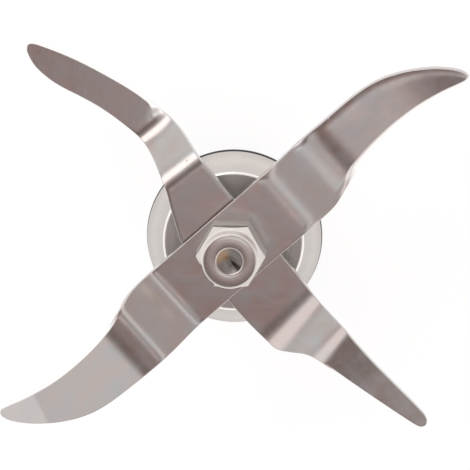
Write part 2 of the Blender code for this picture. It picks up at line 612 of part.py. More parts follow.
def main():
    clear_scene()
    housing = add_carrier("housing_body")
    rotor = add_carrier("rotor_body")
    make_housing(housing)
    make_gasket(housing)
    make_shaft_seal(housing)
    make_housing_clip(housing)
    make_bearing("lower_bearing", LOWER_BEARING_BOTTOM, housing, rotor)
    make_bearing("upper_bearing", UPPER_BEARING_BOTTOM, housing, rotor)
    make_spacers(housing, rotor)
    make_shaft(rotor)
    make_coupling(rotor)
    make_blade_spacer(rotor)
    make_blade("lower_blade", LOWER_BLADE_TOP, REAR_ARM, FRONT_ARM, LOWER_GRIND_WIDTH, rotor)
    make_blade("upper_blade", UPPER_BLADE_TOP, RAISED_ARM, DROPPED_ARM, UPPER_GRIND_WIDTH, rotor)
    make_nut(rotor)


main()
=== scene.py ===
"""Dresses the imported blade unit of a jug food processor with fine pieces, finishes, lights and a camera.

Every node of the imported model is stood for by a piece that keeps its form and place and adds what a
real one has: rolled and ground edges, soft bends, turning marks, fillets and smooth balls.
"""

from collections import namedtuple
from math import acos, asin, cos, pi, radians, sin, sqrt, tan

import bmesh
import bpy
from bpy.props import FloatProperty, FloatVectorProperty, IntProperty, PointerProperty
from bpy.types import Operator, Panel, PropertyGroup
from mathutils import Matrix, Vector


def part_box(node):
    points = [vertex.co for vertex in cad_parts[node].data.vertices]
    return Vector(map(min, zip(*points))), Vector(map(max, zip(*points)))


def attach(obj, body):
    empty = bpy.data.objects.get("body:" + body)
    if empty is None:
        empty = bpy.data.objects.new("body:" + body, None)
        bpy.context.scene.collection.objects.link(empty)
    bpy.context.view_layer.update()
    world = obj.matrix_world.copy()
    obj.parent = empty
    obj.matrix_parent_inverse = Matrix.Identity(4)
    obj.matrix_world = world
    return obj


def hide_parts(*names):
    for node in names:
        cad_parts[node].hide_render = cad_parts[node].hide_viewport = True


bl_info = {
    "name": "Food processor blade unit",
    "version": (1, 0, 0),
    "blender": (4, 5, 0),
    "location": "3D View > Sidebar > Blade Unit",
    "description": "Builds the blades, nut, bearing housing and drive of a jug blade unit",
    "category": "Object",
}

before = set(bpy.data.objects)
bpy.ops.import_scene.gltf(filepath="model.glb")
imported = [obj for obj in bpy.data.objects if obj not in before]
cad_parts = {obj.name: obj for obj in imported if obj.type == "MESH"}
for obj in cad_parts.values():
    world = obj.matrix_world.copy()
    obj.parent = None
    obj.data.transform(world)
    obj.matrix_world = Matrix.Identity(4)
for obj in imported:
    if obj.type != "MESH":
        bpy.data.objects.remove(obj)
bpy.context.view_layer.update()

# Clearances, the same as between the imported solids
SEAT_GAP = 0.0003
FIT_GAP = 0.00015
LIP_GAP = 0.0002
RACE_GAP = 0.0002

# Fineness of the meshes
ROUND_STEPS = 144
SMALL_STEPS = 48
FILLET_STEPS = 3
CORNER_STEPS = 6
MERGE_DISTANCE = 0.000001
SHARP_ANGLE = radians(32)

ORIGIN = (0, 0, 0)
AXIS_X = (1, 0, 0)
AXIS_Z = (0, 0, 1)
FULL_TURN = 2 * pi


def low(node):
    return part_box(node)[0].z


def high(node):
    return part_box(node)[1].z


def reach_x(node):
    """A round node's largest radius: every one of them has a corner on +X."""
    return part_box(node)[1].x


def length_setting(name, default, description):
    return FloatProperty(name=name, description=description, default=default, unit="LENGTH")


def roughness_setting(name, default, description):
    return FloatProperty(
        name=name, description=description, default=default, subtype="FACTOR", min=0, max=1)


def colour_setting(name, default, description, brightest=1):
    return FloatVectorProperty(
        name=name, description=description, default=default, subtype="COLOR", size=3, min=0,
        max=brightest)


class BladeSizes(PropertyGroup):
    """The two stamped blades."""

    thickness: length_setting("Sheet thickness", 0.0020, "Thickness of both stamped blades")
    cutting_edge: length_setting("Cutting edge", 0.0003, "Thickness left at the ground edge")
    roll: length_setting("Edge roll", 0.0002, "Radius that stamping leaves round the top edge")
    upper_half_width: length_setting(
        "Upper blade half width", 0.0078, "Half the width of the upper blade's middle")
    upper_grind: length_setting(
        "Upper grind", 0.0019, "Widest part of the upper blade's ground band")
    lower_grind: length_setting(
        "Lower grind", 0.0005, "Widest part of the lower blade's ground band")
    grind_run_in: length_setting(
        "Grind run-in", 0.0060, "Length over which the ground band comes to its full depth")


class NutSizes(PropertyGroup):
    """The closed hexagonal nut."""

    across_flats: length_setting("Across flats", 0.0130, "Width of the hexagon over two sides")
    hex_height: length_setting("Hexagon height", 0.0070, "Height of the hexagon's corners")
    neck_radius: length_setting("Neck radius", 0.0060, "Radius of the short neck")
    ring_radius: length_setting("Ring radius", 0.0056, "Outer radius of the ring face")
    dimple_radius: length_setting("Dimple radius", 0.0030, "Radius of the drilled dimple")
    turn: FloatProperty(
        name="Turn", description="Direction of one corner of the hexagon", default=radians(18),
        subtype="ANGLE")
    edge_break: length_setting("Edge break", 0.00012, "Round left on the nut's edges")


class HousingSizes(PropertyGroup):
    """The turned bearing housing, its gasket, lip seal and spring clip."""

    flange_lip: length_setting("Flange lip", 0.0006, "Height of the flange's rim")
    cone_height: length_setting("Cone height", 0.0045, "Rise of the flange's cone")
    spigot_height: length_setting("Spigot height", 0.0064, "Height of the spigot under the flange")
    edge_round: length_setting("Edge round", 0.00022, "Fillet on the housing's edges")
    lug_count: IntProperty(
        name="Lugs", description="Bayonet lugs round the barrel", default=3, min=2, max=6)
    lug_height: length_setting("Lug height", 0.0035, "Height of one bayonet lug")


class BearingSizes(PropertyGroup):
    """Both ball bearings and the tubes between them."""

    ball_count: IntProperty(
        name="Balls", description="Balls in each bearing", default=7, min=5, max=9)
    ring_edge: length_setting("Ring edge", 0.0003, "Fillet on the corners of the rings")
    cage_edge: length_setting("Cage edge", 0.0001, "Fillet on the cage's edges")


class DriveSizes(PropertyGroup):
    """The shaft, the thrower under the blades, the star coupling and its pin."""

    shaft_radius: length_setting("Shaft radius", 0.0040, "Radius of the shaft")
    flat_half_width: length_setting(
        "Half width over flats", 0.00325, "Distance of each flat from the axis")
    lobe_round: length_setting("Lobe round", 0.0007, "Round on the coupling's lobes")
    foot_chamfer: length_setting("Foot chamfer", 0.0006, "Chamfer round the coupling's foot")


class Finishes(PropertyGroup):
    """Base colours and roughness of the metals and of the two moulded materials."""

    sheet_colour: colour_setting(
        "Stamped steel", (0.570, 0.545, 0.538), "Base colour of the blades")
    sheet_roughness: roughness_setting(
        "Stamped steel roughness", 0.21, "Roughness of the blades' polish")
    turned_colour: colour_setting(
        "Turned steel", (0.735, 0.698, 0.672), "Base colour of the nut, housing and shaft")
    turned_roughness: roughness_setting(
        "Turned steel roughness", 0.21, "Roughness of the turned faces")
    bearing_colour: colour_setting(
        "Bearing steel", (0.560, 0.560, 0.570), "Base colour of the rings and balls")
    brass_colour: colour_setting(
        "Cage brass", (0.560, 0.410, 0.190), "Base colour of the ball cages")
    clip_colour: colour_setting(
        "Spring steel", (0.120, 0.120, 0.125), "Base colour of the phosphated clip")
    rubber_colour: colour_setting(
        "Rubber", (0.028, 0.027, 0.027), "Colour of the gasket and the lip seal")
    plastic_colour: colour_setting(
        "Glass-filled plastic", (0.045, 0.045, 0.047), "Colour of the drive coupling")


class Studio(PropertyGroup):
    """Camera, floor and soft light."""

    focal_length: FloatProperty(
        name="Focal length", description="Lens in millimetres on a sensor 36 mm wide", default=351.09)
    lamp_distance: length_setting("Lamp distance", 0.90, "How far every lamp hangs from the blades")
    ceiling_colour: colour_setting("Ceiling", (0.980, 1.000, 1.000), "Light from straight above")
    rim_colour: colour_setting(
        "Ceiling's rim", (0.420, 0.140, 0.130), "Warm light from the rim of the ceiling")
    gap_colour: colour_setting(
        "Gap", (0.200, 0.160, 0.152), "Light from between the ceiling and the lamps")
    wall_colour: colour_setting(
        "Walls", (1.200, 1.170, 1.150), "Light from the horizon", brightest=2)
    floor_colour: colour_setting("Floor", (0.860, 0.860, 0.860), "Colour of the pale floor")


# Mesh helpers

def spun(profile, fillets=(), steps=ROUND_STEPS, start=0.0, span=FULL_TURN):
    """Spins a wire of (radius, height) points about the shaft's axis.

    A wire that starts on the axis ends there too. Each fillet is (number of the point, radius). A
    span under a full turn makes part of a ring, with flat ends.
    """
    bm = bmesh.new()
    points = [bm.verts.new((radius, 0.0, height)) for radius, height in profile]
    on_axis = profile[0][0] == 0.0
    following = points[1:] if on_axis else points[1:] + points[:1]
    for pair in zip(points, following):
        bm.edges.new(pair)
    for number, radius in fillets:
        bmesh.ops.bevel(
            bm, geom=[points[number]], offset=radius, offset_type="OFFSET", segments=FILLET_STEPS,
            profile=0.5, affect="VERTICES", material=-1)
    bmesh.ops.rotate(bm, verts=bm.verts, cent=ORIGIN, matrix=Matrix.Rotation(start, 3, "Z"))
    full = span == FULL_TURN
    bmesh.ops.spin(
        bm, geom=bm.verts[:] + bm.edges[:], cent=ORIGIN, axis=AXIS_Z, angle=span, steps=steps,
        use_merge=full)
    bmesh.ops.remove_doubles(bm, verts=bm.verts, dist=MERGE_DISTANCE)
    if not full:
        ends = [edge for edge in bm.edges if edge.is_boundary]
        bmesh.ops.holes_fill(bm, edges=ends, sides=0)
    bmesh.ops.recalc_face_normals(bm, faces=bm.faces)
    return bm


def ring(inner, outer, bottom, top, edge, **turn):
    """A plain ring with rounded edges; start and span can be given for an open one."""
    return spun([(inner, bottom), (outer, bottom), (outer, top), (inner, top)],
                [(k, edge) for k in range(4)], **turn)


def bar(radius, length, centre, axis, steps=SMALL_STEPS, edge=0.0):
    """A round bar along a direction, with its end edges broken."""
    bm = bmesh.new()
    turn = Vector(AXIS_Z).rotation_difference(Vector(axis)).to_matrix().to_4x4()
    bmesh.ops.create_cone(
        bm, cap_ends=True, segments=steps, radius1=radius, radius2=radius, depth=length,
        matrix=Matrix.Translation(centre) @ turn)
    if edge > 0:
        rims = [e for e in bm.edges if any(len(face.verts) > 4 for face in e.link_faces)]
        break_edges(bm, rims, edge)
    return bm


def ball(radius, centre, segments=SMALL_STEPS):
    bm = bmesh.new()
    bmesh.ops.create_uvsphere(
        bm, u_segments=segments, v_segments=segments // 2, radius=radius,
        matrix=Matrix.Translation(centre))
    return bm


def break_edges(bm, edges, width, segments=2):
    bmesh.ops.bevel(
        bm, geom=edges, offset=width, offset_type="OFFSET", segments=segments, profile=0.5,
        affect="EDGES", material=-1, clamp_overlap=True)


def raised(outline, bottom, top, round_at=(), round_radius=0.0, foot_edge=0.0, top_edge=0.0):
    """Raises a plan outline of (x, y) points, with rounded corners and broken rims."""
    bm = bmesh.new()
    corners = [bm.verts.new((x, y, bottom)) for x, y in outline]
    for pair in zip(corners, corners[1:] + corners[:1]):
        bm.edges.new(pair)
    if round_radius > 0:
        bmesh.ops.bevel(
            bm, geom=[corners[k] for k in round_at], offset=round_radius, offset_type="OFFSET",
            segments=CORNER_STEPS, profile=0.5, affect="VERTICES", material=-1)
    bmesh.ops.contextual_create(bm, geom=bm.edges[:])
    swept = bmesh.ops.extrude_face_region(bm, geom=bm.faces[:])
    lifted = [part for part in swept["geom"] if isinstance(part, bmesh.types.BMVert)]
    bmesh.ops.translate(bm, verts=lifted, vec=(0, 0, top - bottom))
    bmesh.ops.recalc_face_normals(bm, faces=bm.faces)
    for level, width, segments in ((bottom, foot_edge, 1), (top, top_edge, 2)):
        if width > 0:
            rim = [e for e in bm.edges if all(abs(v.co.z - level) < MERGE_DISTANCE for v in e.verts)]
            break_edges(bm, rim, width, segments)
    return bm


def polar(radius, angle):
    return radius * cos(angle), radius * sin(angle)


def arc(radius, start, end, steps):
    return [polar(radius, start + (end - start) * k / steps) for k in range(steps + 1)]


def double_d(radius, half_width, steps=16):
    """Plan outline of a round bar with two flats that face +Y and -Y."""
    limit = asin(half_width / radius)
    return arc(radius, -limit, limit, steps) + arc(radius, pi - limit, pi + limit, steps)


def mesh_from(bm, name):
    mesh = bpy.data.meshes.new(name)
    bm.to_mesh(mesh)
    bm.free()
    return mesh


def new_object(name, data):
    obj = bpy.data.objects.new(name, data)
    bpy.context.scene.collection.objects.link(obj)
    return obj


def combined(bm, shapes):
    """Applies exact Booleans to a bmesh; shapes are (operation, bmesh) pairs, taken in order."""
    target = new_object("work_piece", mesh_from(bm, "work_piece"))
    tools = []
    for operation, shape in shapes:
        tool = new_object("work_tool", mesh_from(shape, "work_tool"))
        tools.append(tool)
        modifier = target.modifiers.new("work", "BOOLEAN")
        modifier.operation = operation
        modifier.solver = "EXACT"
        modifier.object = tool
    graph = bpy.context.evaluated_depsgraph_get()
    result = bmesh.new()
    result.from_object(target, graph)
    for obj in [target, *tools]:
        mesh = obj.data
        bpy.data.objects.remove(obj, do_unlink=True)
        bpy.data.meshes.remove(mesh)
    return result


def add_piece(bm, name, material, body, nodes):
    """Turns a bmesh into a finished piece that rides on a body and stands for its nodes."""
    bmesh.ops.remove_doubles(bm, verts=bm.verts, dist=MERGE_DISTANCE)
    bmesh.ops.recalc_face_normals(bm, faces=bm.faces)
    mesh = mesh_from(bm, name)
    mesh.shade_smooth()
    mesh.set_sharp_from_angle(angle=SHARP_ANGLE)
    mesh.materials.append(material)
    piece = new_object(name, mesh)
    weighted = piece.modifiers.new("broad faces flat", "WEIGHTED_NORMAL")
    weighted.keep_sharp = True
    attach(piece, body)
    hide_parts(*nodes)


# Node helpers

def add_node(tree, kind, sockets=None, **settings):
    """Adds a node; sockets maps its inputs to plain values or to other nodes' outputs."""
    node = tree.nodes.new(kind)
    for name, value in settings.items():
        setattr(node, name, value)
    connect(tree, node, sockets or {})
    return node


def connect(tree, node, sockets):
    for key, value in sockets.items():
        if isinstance(value, bpy.types.NodeSocket):
            tree.links.new(value, node.inputs[key])
        else:
            node.inputs[key].default_value = value


def maths(tree, operation, *values):
    node = add_node(tree, "ShaderNodeMath", dict(enumerate(values)), operation=operation)
    return node.outputs[0]


def spread(tree, value, low_end, high_end, start=0.0, end=1.0):
    """Maps a value from start..end to low_end..high_end, held at both ends."""
    node = add_node(tree, "ShaderNodeMapRange", {
        "Value": value, "From Min": start, "From Max": end, "To Min": low_end, "To Max": high_end})
    return node.outputs["Result"]


def rising(tree, value, start, end):
    return spread(tree, value, 0.0, 1.0, start, end)


def falling(tree, value, start, end):
    return spread(tree, value, 1.0, 0.0, start, end)


def plus(tree, value, other, share):
    """A value with a share of another added."""
    return maths(tree, "ADD", value, maths(tree, "MULTIPLY", other, share))


def blend_colours(tree, factor, first, second):
    node = add_node(tree, "ShaderNodeMix", {"Factor": factor, 6: first, 7: second}, data_type="RGBA")
    return node.outputs[2]


def from_axis(tree, vector):
    """A vector's coordinates and its distance from the shaft's axis."""
    place = add_node(tree, "ShaderNodeSeparateXYZ", {"Vector": vector}).outputs
    squares = [maths(tree, "POWER", place[axis], 2.0) for axis in ("X", "Y")]
    return place, maths(tree, "SQRT", maths(tree, "ADD", *squares))


def make_group(name, inputs, outputs):
    """A node group with a vector and a few numbers going in, and numbers coming out."""
    group = bpy.data.node_groups.new(name, "ShaderNodeTree")
    group.interface.new_socket(name="Vector", in_out="INPUT", socket_type="NodeSocketVector")
    for label, value in inputs.items():
        socket = group.interface.new_socket(name=label, in_out="INPUT", socket_type="NodeSocketFloat")
        socket.default_value = value
    for label in outputs:
        group.interface.new_socket(name=label, in_out="OUTPUT", socket_type="NodeSocketFloat")
    given = group.nodes.new("NodeGroupInput").outputs
    result = group.nodes.new("NodeGroupOutput")
    return group, given, result


def use_group(tree, name, build, sockets):
    """Uses a node group, which is built when it is first asked for."""
    node = tree.nodes.new("ShaderNodeGroup")
    node.node_tree = bpy.data.node_groups.get(name) or build(name)
    connect(tree, node, sockets)
    return node.outputs


def build_clouding(name):
    """Soft patches, as rolling and polishing leave them, with a fine grain over them."""
    group, given, result = make_group(name, {"Patch": 0.003, "Grain": 0.0002}, ("Cloud", "Fine"))
    outputs = {}
    for label, size, detail in (("Cloud", "Patch", 3.0), ("Fine", "Grain", 2.0)):
        noise = add_node(group, "ShaderNodeTexNoise", {
            "Vector": given["Vector"], "Scale": maths(group, "DIVIDE", 1.0, given[size]),
            "Detail": detail, "Roughness": 0.55})
        outputs[label] = rising(group, noise.outputs["Fac"], 0.3, 0.7)
    connect(group, result, outputs)
    return group


def build_specks(name):
    """Sparse round specks of dust or tiny dents."""
    group, given, result = make_group(name, {"Spacing": 0.003, "Size": 0.06, "Share": 0.3}, ("Mask",))
    scale = maths(group, "DIVIDE", 1.0, given["Spacing"])
    cells = add_node(group, "ShaderNodeTexVoronoi", {"Vector": given["Vector"], "Scale": scale})
    chance = add_node(group, "ShaderNodeSeparateColor", {"Color": cells.outputs["Color"]})
    chosen = maths(group, "LESS_THAN", chance.outputs["Red"], given["Share"])
    size = maths(group, "MULTIPLY", given["Size"], spread(group, chance.outputs["Green"], 0.4, 1.6))
    near = maths(group, "DIVIDE", cells.outputs["Distance"], size)
    dot = falling(group, near, 0.4, 1.0)
    connect(group, result, {"Mask": maths(group, "MULTIPLY", chosen, dot)})
    return group


def build_turning_marks(name):
    """Rings that a lathe tool leaves, square to the shaft's axis on every turned face."""
    group, given, result = make_group(name, {"Pitch": 0.00012}, ("Height", "Streak"))
    place, radius = from_axis(group, given["Vector"])
    run = maths(group, "ADD", radius, place["Z"])
    fine_scale = maths(group, "DIVIDE", 1.0, given["Pitch"])
    broad_scale = maths(group, "MULTIPLY", fine_scale, 0.22)
    fine, broad = (
        add_node(group, "ShaderNodeTexNoise", {"W": run, "Scale": scale, "Detail": detail},
                 noise_dimensions="1D").outputs["Fac"]
        for scale, detail in ((fine_scale, 1.0), (broad_scale, 3.0)))
    connect(group, result, {"Height": fine, "Streak": rising(group, broad, 0.3, 0.7)})
    return group


def build_scratches(name):
    """Hair-thin wipe marks that run mostly one way."""
    group, given, result = make_group(name, {"Width": 0.0001, "Length": 0.006}, ("Mask",))
    parts = add_node(group, "ShaderNodeSeparateXYZ", {"Vector": given["Vector"]}).outputs
    stretched = add_node(group, "ShaderNodeCombineXYZ", {
        axis: maths(group, "DIVIDE", parts[axis], given[size])
        for axis, size in (("X", "Length"), ("Y", "Width"), ("Z", "Length"))})
    noise = add_node(group, "ShaderNodeTexNoise", {
        "Vector": stretched.outputs["Vector"], "Scale": 0.35, "Detail": 2.0})
    connect(group, result, {"Mask": rising(group, noise.outputs["Fac"], 0.42, 0.75)})
    return group


# What the finishes lay over their base colour, roughness and relief
DUST = (0.62, 0.58, 0.54, 1.0)
WARM_CLOUD = (1.035, 0.955, 0.915)
COOL_CLOUD = (0.975, 1.025, 1.040)
# Tone of the ground band and of the pale tip: a painted highlight laid over the real ground band
GROUND_HIGHLIGHT_TONE = 1.8
GROUND_DULLING = 0.06
WIPE_DULLING = 0.02
WIPE_RELIEF = 0.012
WAVE_RELIEF = 0.8
GRAIN_RELIEF = 0.05
MARKS_DEPTH = 0.0000018
MARKS_FADE = 0.0003
UNMARKED_DULLING = 0.26


def new_finish(name, metallic):
    """An empty finish: its node tree, its shader and the piece's own coordinates."""
    material = bpy.data.materials.new(name)
    material.use_nodes = True
    tree = material.node_tree
    shader = tree.nodes["Principled BSDF"]
    shader.inputs["Metallic"].default_value = metallic
    place = tree.nodes.new("ShaderNodeTexCoord").outputs["Object"]
    return material, tree, shader, place


def clouded(tree, place, patch, grain):
    return use_group(tree, "clouding", build_clouding, {"Vector": place, "Patch": patch, "Grain": grain})


def specked(tree, place, spacing, size, share):
    return use_group(tree, "specks", build_specks, {
        "Vector": place, "Spacing": spacing, "Size": size, "Share": share})["Mask"]


def set_surface(tree, shader, colour, roughness, relief, depth, strength=1.0):
    """Gives the shader its colour, its roughness and a normal from the relief."""
    bump = add_node(tree, "ShaderNodeBump", {"Strength": strength, "Distance": depth, "Height": relief})
    connect(tree, shader, {
        "Base Color": colour, "Roughness": roughness, "Normal": bump.outputs["Normal"]})


def reopened(material):
    """What it takes to lay more over a finish: its tree, shader, colour and roughness, and the place."""
    tree = material.node_tree
    shader = tree.nodes["Principled BSDF"]
    colour, roughness = (
        shader.inputs[name].links[0].from_socket for name in ("Base Color", "Roughness"))
    place, radius = from_axis(tree, tree.nodes.new("ShaderNodeTexCoord").outputs["Object"])
    return tree, shader, colour, roughness, place, radius


def shade(colour, factor):
    return tinted(colour, (factor, factor, factor))


def tinted(colour, tint):
    return (*[min(1.0, part * share) for part, share in zip(colour, tint)], 1.0)


def stamped_steel(name, grain_turn):
    """Polished sheet with faint clouding, specks and wipe marks; by attribute, the ground band and one tip
    are painted lighter, a painted highlight.
    """
    finishes = bpy.context.scene.blade_unit_finishes
    base, rough = finishes.sheet_colour, finishes.sheet_roughness
    material, tree, shader, place = new_finish(name, 1.0)
    turned = add_node(tree, "ShaderNodeMapping", {"Vector": place, "Rotation": (0, 0, -grain_turn)})
    cloud = clouded(tree, place, patch=0.0045, grain=0.00035)
    specks = specked(tree, place, spacing=0.0042, size=0.05, share=0.25)
    wiped = use_group(tree, "scratches", build_scratches, {"Vector": turned.outputs["Vector"]})["Mask"]
    # The ground attribute holds the ground band and the pale tip, which are painted lighter below as a
    # painted highlight
    ground = add_node(tree, "ShaderNodeAttribute", attribute_name="ground").outputs["Fac"]
    colour = blend_colours(tree, cloud["Cloud"], tinted(base, WARM_CLOUD), tinted(base, COOL_CLOUD))
    colour = blend_colours(tree, specks, colour, DUST)
    colour = blend_colours(tree, ground, colour, shade(base, GROUND_HIGHLIGHT_TONE))
    polish = spread(tree, cloud["Cloud"], rough - 0.03, rough + 0.04)
    polish = plus(tree, plus(tree, polish, wiped, WIPE_DULLING), ground, GROUND_DULLING)
    waves = maths(tree, "MULTIPLY", cloud["Cloud"], WAVE_RELIEF)
    relief = plus(tree, plus(tree, waves, cloud["Fine"], GRAIN_RELIEF), wiped, WIPE_RELIEF)
    set_surface(tree, shader, colour, polish, relief, depth=0.00002, strength=0.5)
    connect(tree, shader, {"Metallic": maths(tree, "SUBTRACT", 1.0, specks)})
    return material


def turned_steel(name, pitch=0.00012, marks_from=-1.0, tone=1.0, dulled=0.0):
    """Turned steel: rings from the tool above a level, uneven in sheen, with clouding and specks."""
    finishes = bpy.context.scene.blade_unit_finishes
    base = [tone * part for part in finishes.turned_colour]
    rough = finishes.turned_roughness + dulled
    material, tree, shader, place = new_finish(name, 1.0)
    marks = use_group(tree, "turning marks", build_turning_marks, {"Vector": place, "Pitch": pitch})
    level = add_node(tree, "ShaderNodeSeparateXYZ", {"Vector": place}).outputs["Z"]
    turned = rising(tree, level, marks_from - MARKS_FADE, marks_from + MARKS_FADE)
    cloud = clouded(tree, place, patch=0.0030, grain=0.00025)
    specks = specked(tree, place, spacing=0.0035, size=0.06, share=0.15)
    streak = rising(tree, maths(tree, "MULTIPLY", turned, marks["Streak"]), 0.0, 1.0)
    dark = shade(base, 0.90)
    colour = blend_colours(tree, streak, dark, shade(base, 1.06))
    colour = blend_colours(tree, maths(tree, "MULTIPLY", cloud["Cloud"], 0.35), colour, dark)
    colour = blend_colours(tree, specks, colour, shade(base, 1.3))
    sheen = spread(tree, streak, rough + 0.07, rough - 0.06)
    sheen = maths(tree, "ADD", sheen, spread(tree, turned, UNMARKED_DULLING, 0.0))
    relief = maths(tree, "MULTIPLY", turned, marks["Height"])
    set_surface(tree, shader, colour, sheen, relief, MARKS_DEPTH)
    return material


def plain_metal(name, colour, rough, mottled):
    """Ground, pressed or phosphated metal: fine grain, with a little unevenness in tone."""
    material, tree, shader, place = new_finish(name, 1.0)
    cloud = clouded(tree, place, patch=0.0016, grain=0.0002)
    tone = blend_colours(tree, cloud["Cloud"], shade(colour, 1 - mottled), shade(colour, 1 + mottled))
    polish = spread(tree, cloud["Fine"], rough - 0.04, rough + 0.05)
    set_surface(tree, shader, tone, polish, cloud["Fine"], depth=0.000006, strength=0.4)
    return material


def moulded(name, colour, rough, grain, speck_share, depth):
    """Moulded rubber or filled plastic: fine skin, small light flecks and dull patches."""
    material, tree, shader, place = new_finish(name, 0.0)
    cloud = clouded(tree, place, patch=0.0022, grain=grain)
    specks = specked(tree, place, spacing=0.0006, size=0.22, share=speck_share)
    tone = blend_colours(tree, cloud["Cloud"], shade(colour, 0.85), shade(colour, 1.2))
    tone = blend_colours(tree, maths(tree, "MULTIPLY", specks, 0.5), tone, shade(colour, 2.6))
    skin = spread(tree, cloud["Fine"], rough - 0.07, rough + 0.08)
    set_surface(tree, shader, tone, skin, cloud["Fine"], depth, strength=0.6)
    return material


def shared_finish(name):
    """A finish that several pieces can have, made when it is first asked for."""
    finishes = bpy.context.scene.blade_unit_finishes
    makers = {
        "fine_turned_steel": lambda: turned_steel(name),
        "ground_bearing_steel": lambda: plain_metal(
            name, finishes.bearing_colour, rough=0.16, mottled=0.08),
        "pressed_brass": lambda: plain_metal(name, finishes.brass_colour, rough=0.30, mottled=0.12),
        "phosphated_spring_steel": lambda: plain_metal(
            name, finishes.clip_colour, rough=0.42, mottled=0.15),
        "matte_rubber": lambda: moulded(
            name, finishes.rubber_colour, rough=0.62, grain=0.00018, speck_share=0.05, depth=0.00001),
        "glass_filled_plastic": lambda: moulded(
            name, finishes.plastic_colour, rough=0.48, grain=0.00025, speck_share=0.35, depth=0.000012)}
    return bpy.data.materials.get(name) or makers[name]()


# Blades

# A bend is centred on a reach from the shaft's axis; past it the sheet has the slope. Its width is
# measured along the arm; towards the right edge, hook carries it outwards and flare widens it. Bow
# carries its middle inwards, and both side edges sink by the drop, as sheet does in a press.
Bend = namedtuple("Bend", "reach slope width hook flare drop bow", defaults=(0.0, 0.0, 0.0, 0.0))

# An arm is laid out in its own directions: reach runs out from the shaft's axis, square to its
# bends, and offset runs to its left. Its right edge is the leading edge, ground to the tip over a
# share of the blade's ground width; past its bends the left side may curl down a little. A heel
# is how much wider the ground band is where it starts; pale is how far the tip's painted highlight
# goes towards the ground band's lighter tone.
Arm = namedtuple(
    "Arm", "heading bends grind_start grind_share curl left right heel pale", defaults=(0.0, 0.0))

# The grid of a strip, and the roll and the ground band along its edges
HUB_REACH = 0.0080
STATION_STEP = 0.00040
TIP_LENGTH = 0.0040
TIP_STATIONS = 22
TIP_CROWDING = 1.6
SEARCH_STEPS = 26
ROLL_COLUMNS = (0.0, 0.15, 0.40, 0.70, 1.0)
GRIND_COLUMNS = (0.20, 0.38, 0.54, 0.70, 0.84, 1.0, 1.08)
MIDDLE_COLUMNS = 7
SIDE_LIMIT = 0.42
DROP_WIDTH = 0.0016
CURL_WIDTH = 0.0026
GRIND_HOLLOW = 1.3
WING_GRIND_SHARE = 0.40
HEEL_LENGTH = 0.0052
HEEL_ONSET = 6
MARK_ONSET = 3

# The tip's painted highlight begins at a reach on the left edge, and nearer the hub on the right one
PALE_REACH = 0.0554
PALE_SLANT = 0.0022
PALE_FADE = 0.0009

LOWER_GRAIN_TURN = radians(88)

# Slopes of the arms' ramps
DROPPED_RAMP = -0.0039 / 0.0114
RAISED_RAMP = 0.66
REAR_RAMP = -0.85
FRONT_RAMP = -0.72


def upper_arm(heading, bends, half_width, grind_share, curl, pale=0.0):
    return Arm(
        heading=heading, bends=bends, grind_start=0.0262, grind_share=grind_share, curl=curl, pale=pale,
        left=(
            (0.0000, half_width), (0.0154, half_width), (0.0240, half_width), (0.0330, 0.0077),
            (0.0420, 0.0075), (0.0478, 0.0065), (0.0530, 0.0043), (0.0575, 0.0014), (0.0605, -0.0013),
            (0.0622, -0.0034), (0.06276, -0.0048)),
        right=(
            (0.0000, -half_width), (0.0154, -half_width), (0.0222, -half_width), (0.0265, -0.0067),
            (0.0310, -0.0054), (0.0370, -0.0044), (0.0440, -0.0040), (0.0500, -0.0043),
            (0.0560, -0.0053), (0.0608, -0.0065), (0.0622, -0.0066), (0.06276, -0.0059)))


def upper_arms(half_width):
    dropped = upper_arm(radians(-0.25), (
        Bend(0.0167, DROPPED_RAMP, 0.0056, drop=0.00022),
        Bend(0.0254, tan(radians(-3.5)), 0.0080, 0.0010, 0.15, 0.00034, bow=0.0007),
        Bend(0.0292, tan(radians(3.4)), 0.0036, 0.0008, bow=0.0005),
        Bend(0.0325, tan(radians(-2.0)), 0.0040),
        Bend(0.0538, tan(radians(5.5)), 0.0230)), half_width, 1.0, 0.00020)
    raised_arm = upper_arm(pi, (
        Bend(0.0162, tan(radians(12.5)), 0.0030, drop=0.00012), Bend(0.0183, RAISED_RAMP, 0.0042),
        Bend(0.0256, 0.0, 0.0048, drop=0.00010),
        Bend(0.0319, tan(radians(-15)), 0.0052)), half_width, 0.35, 0.0, pale=0.32)
    return raised_arm, dropped


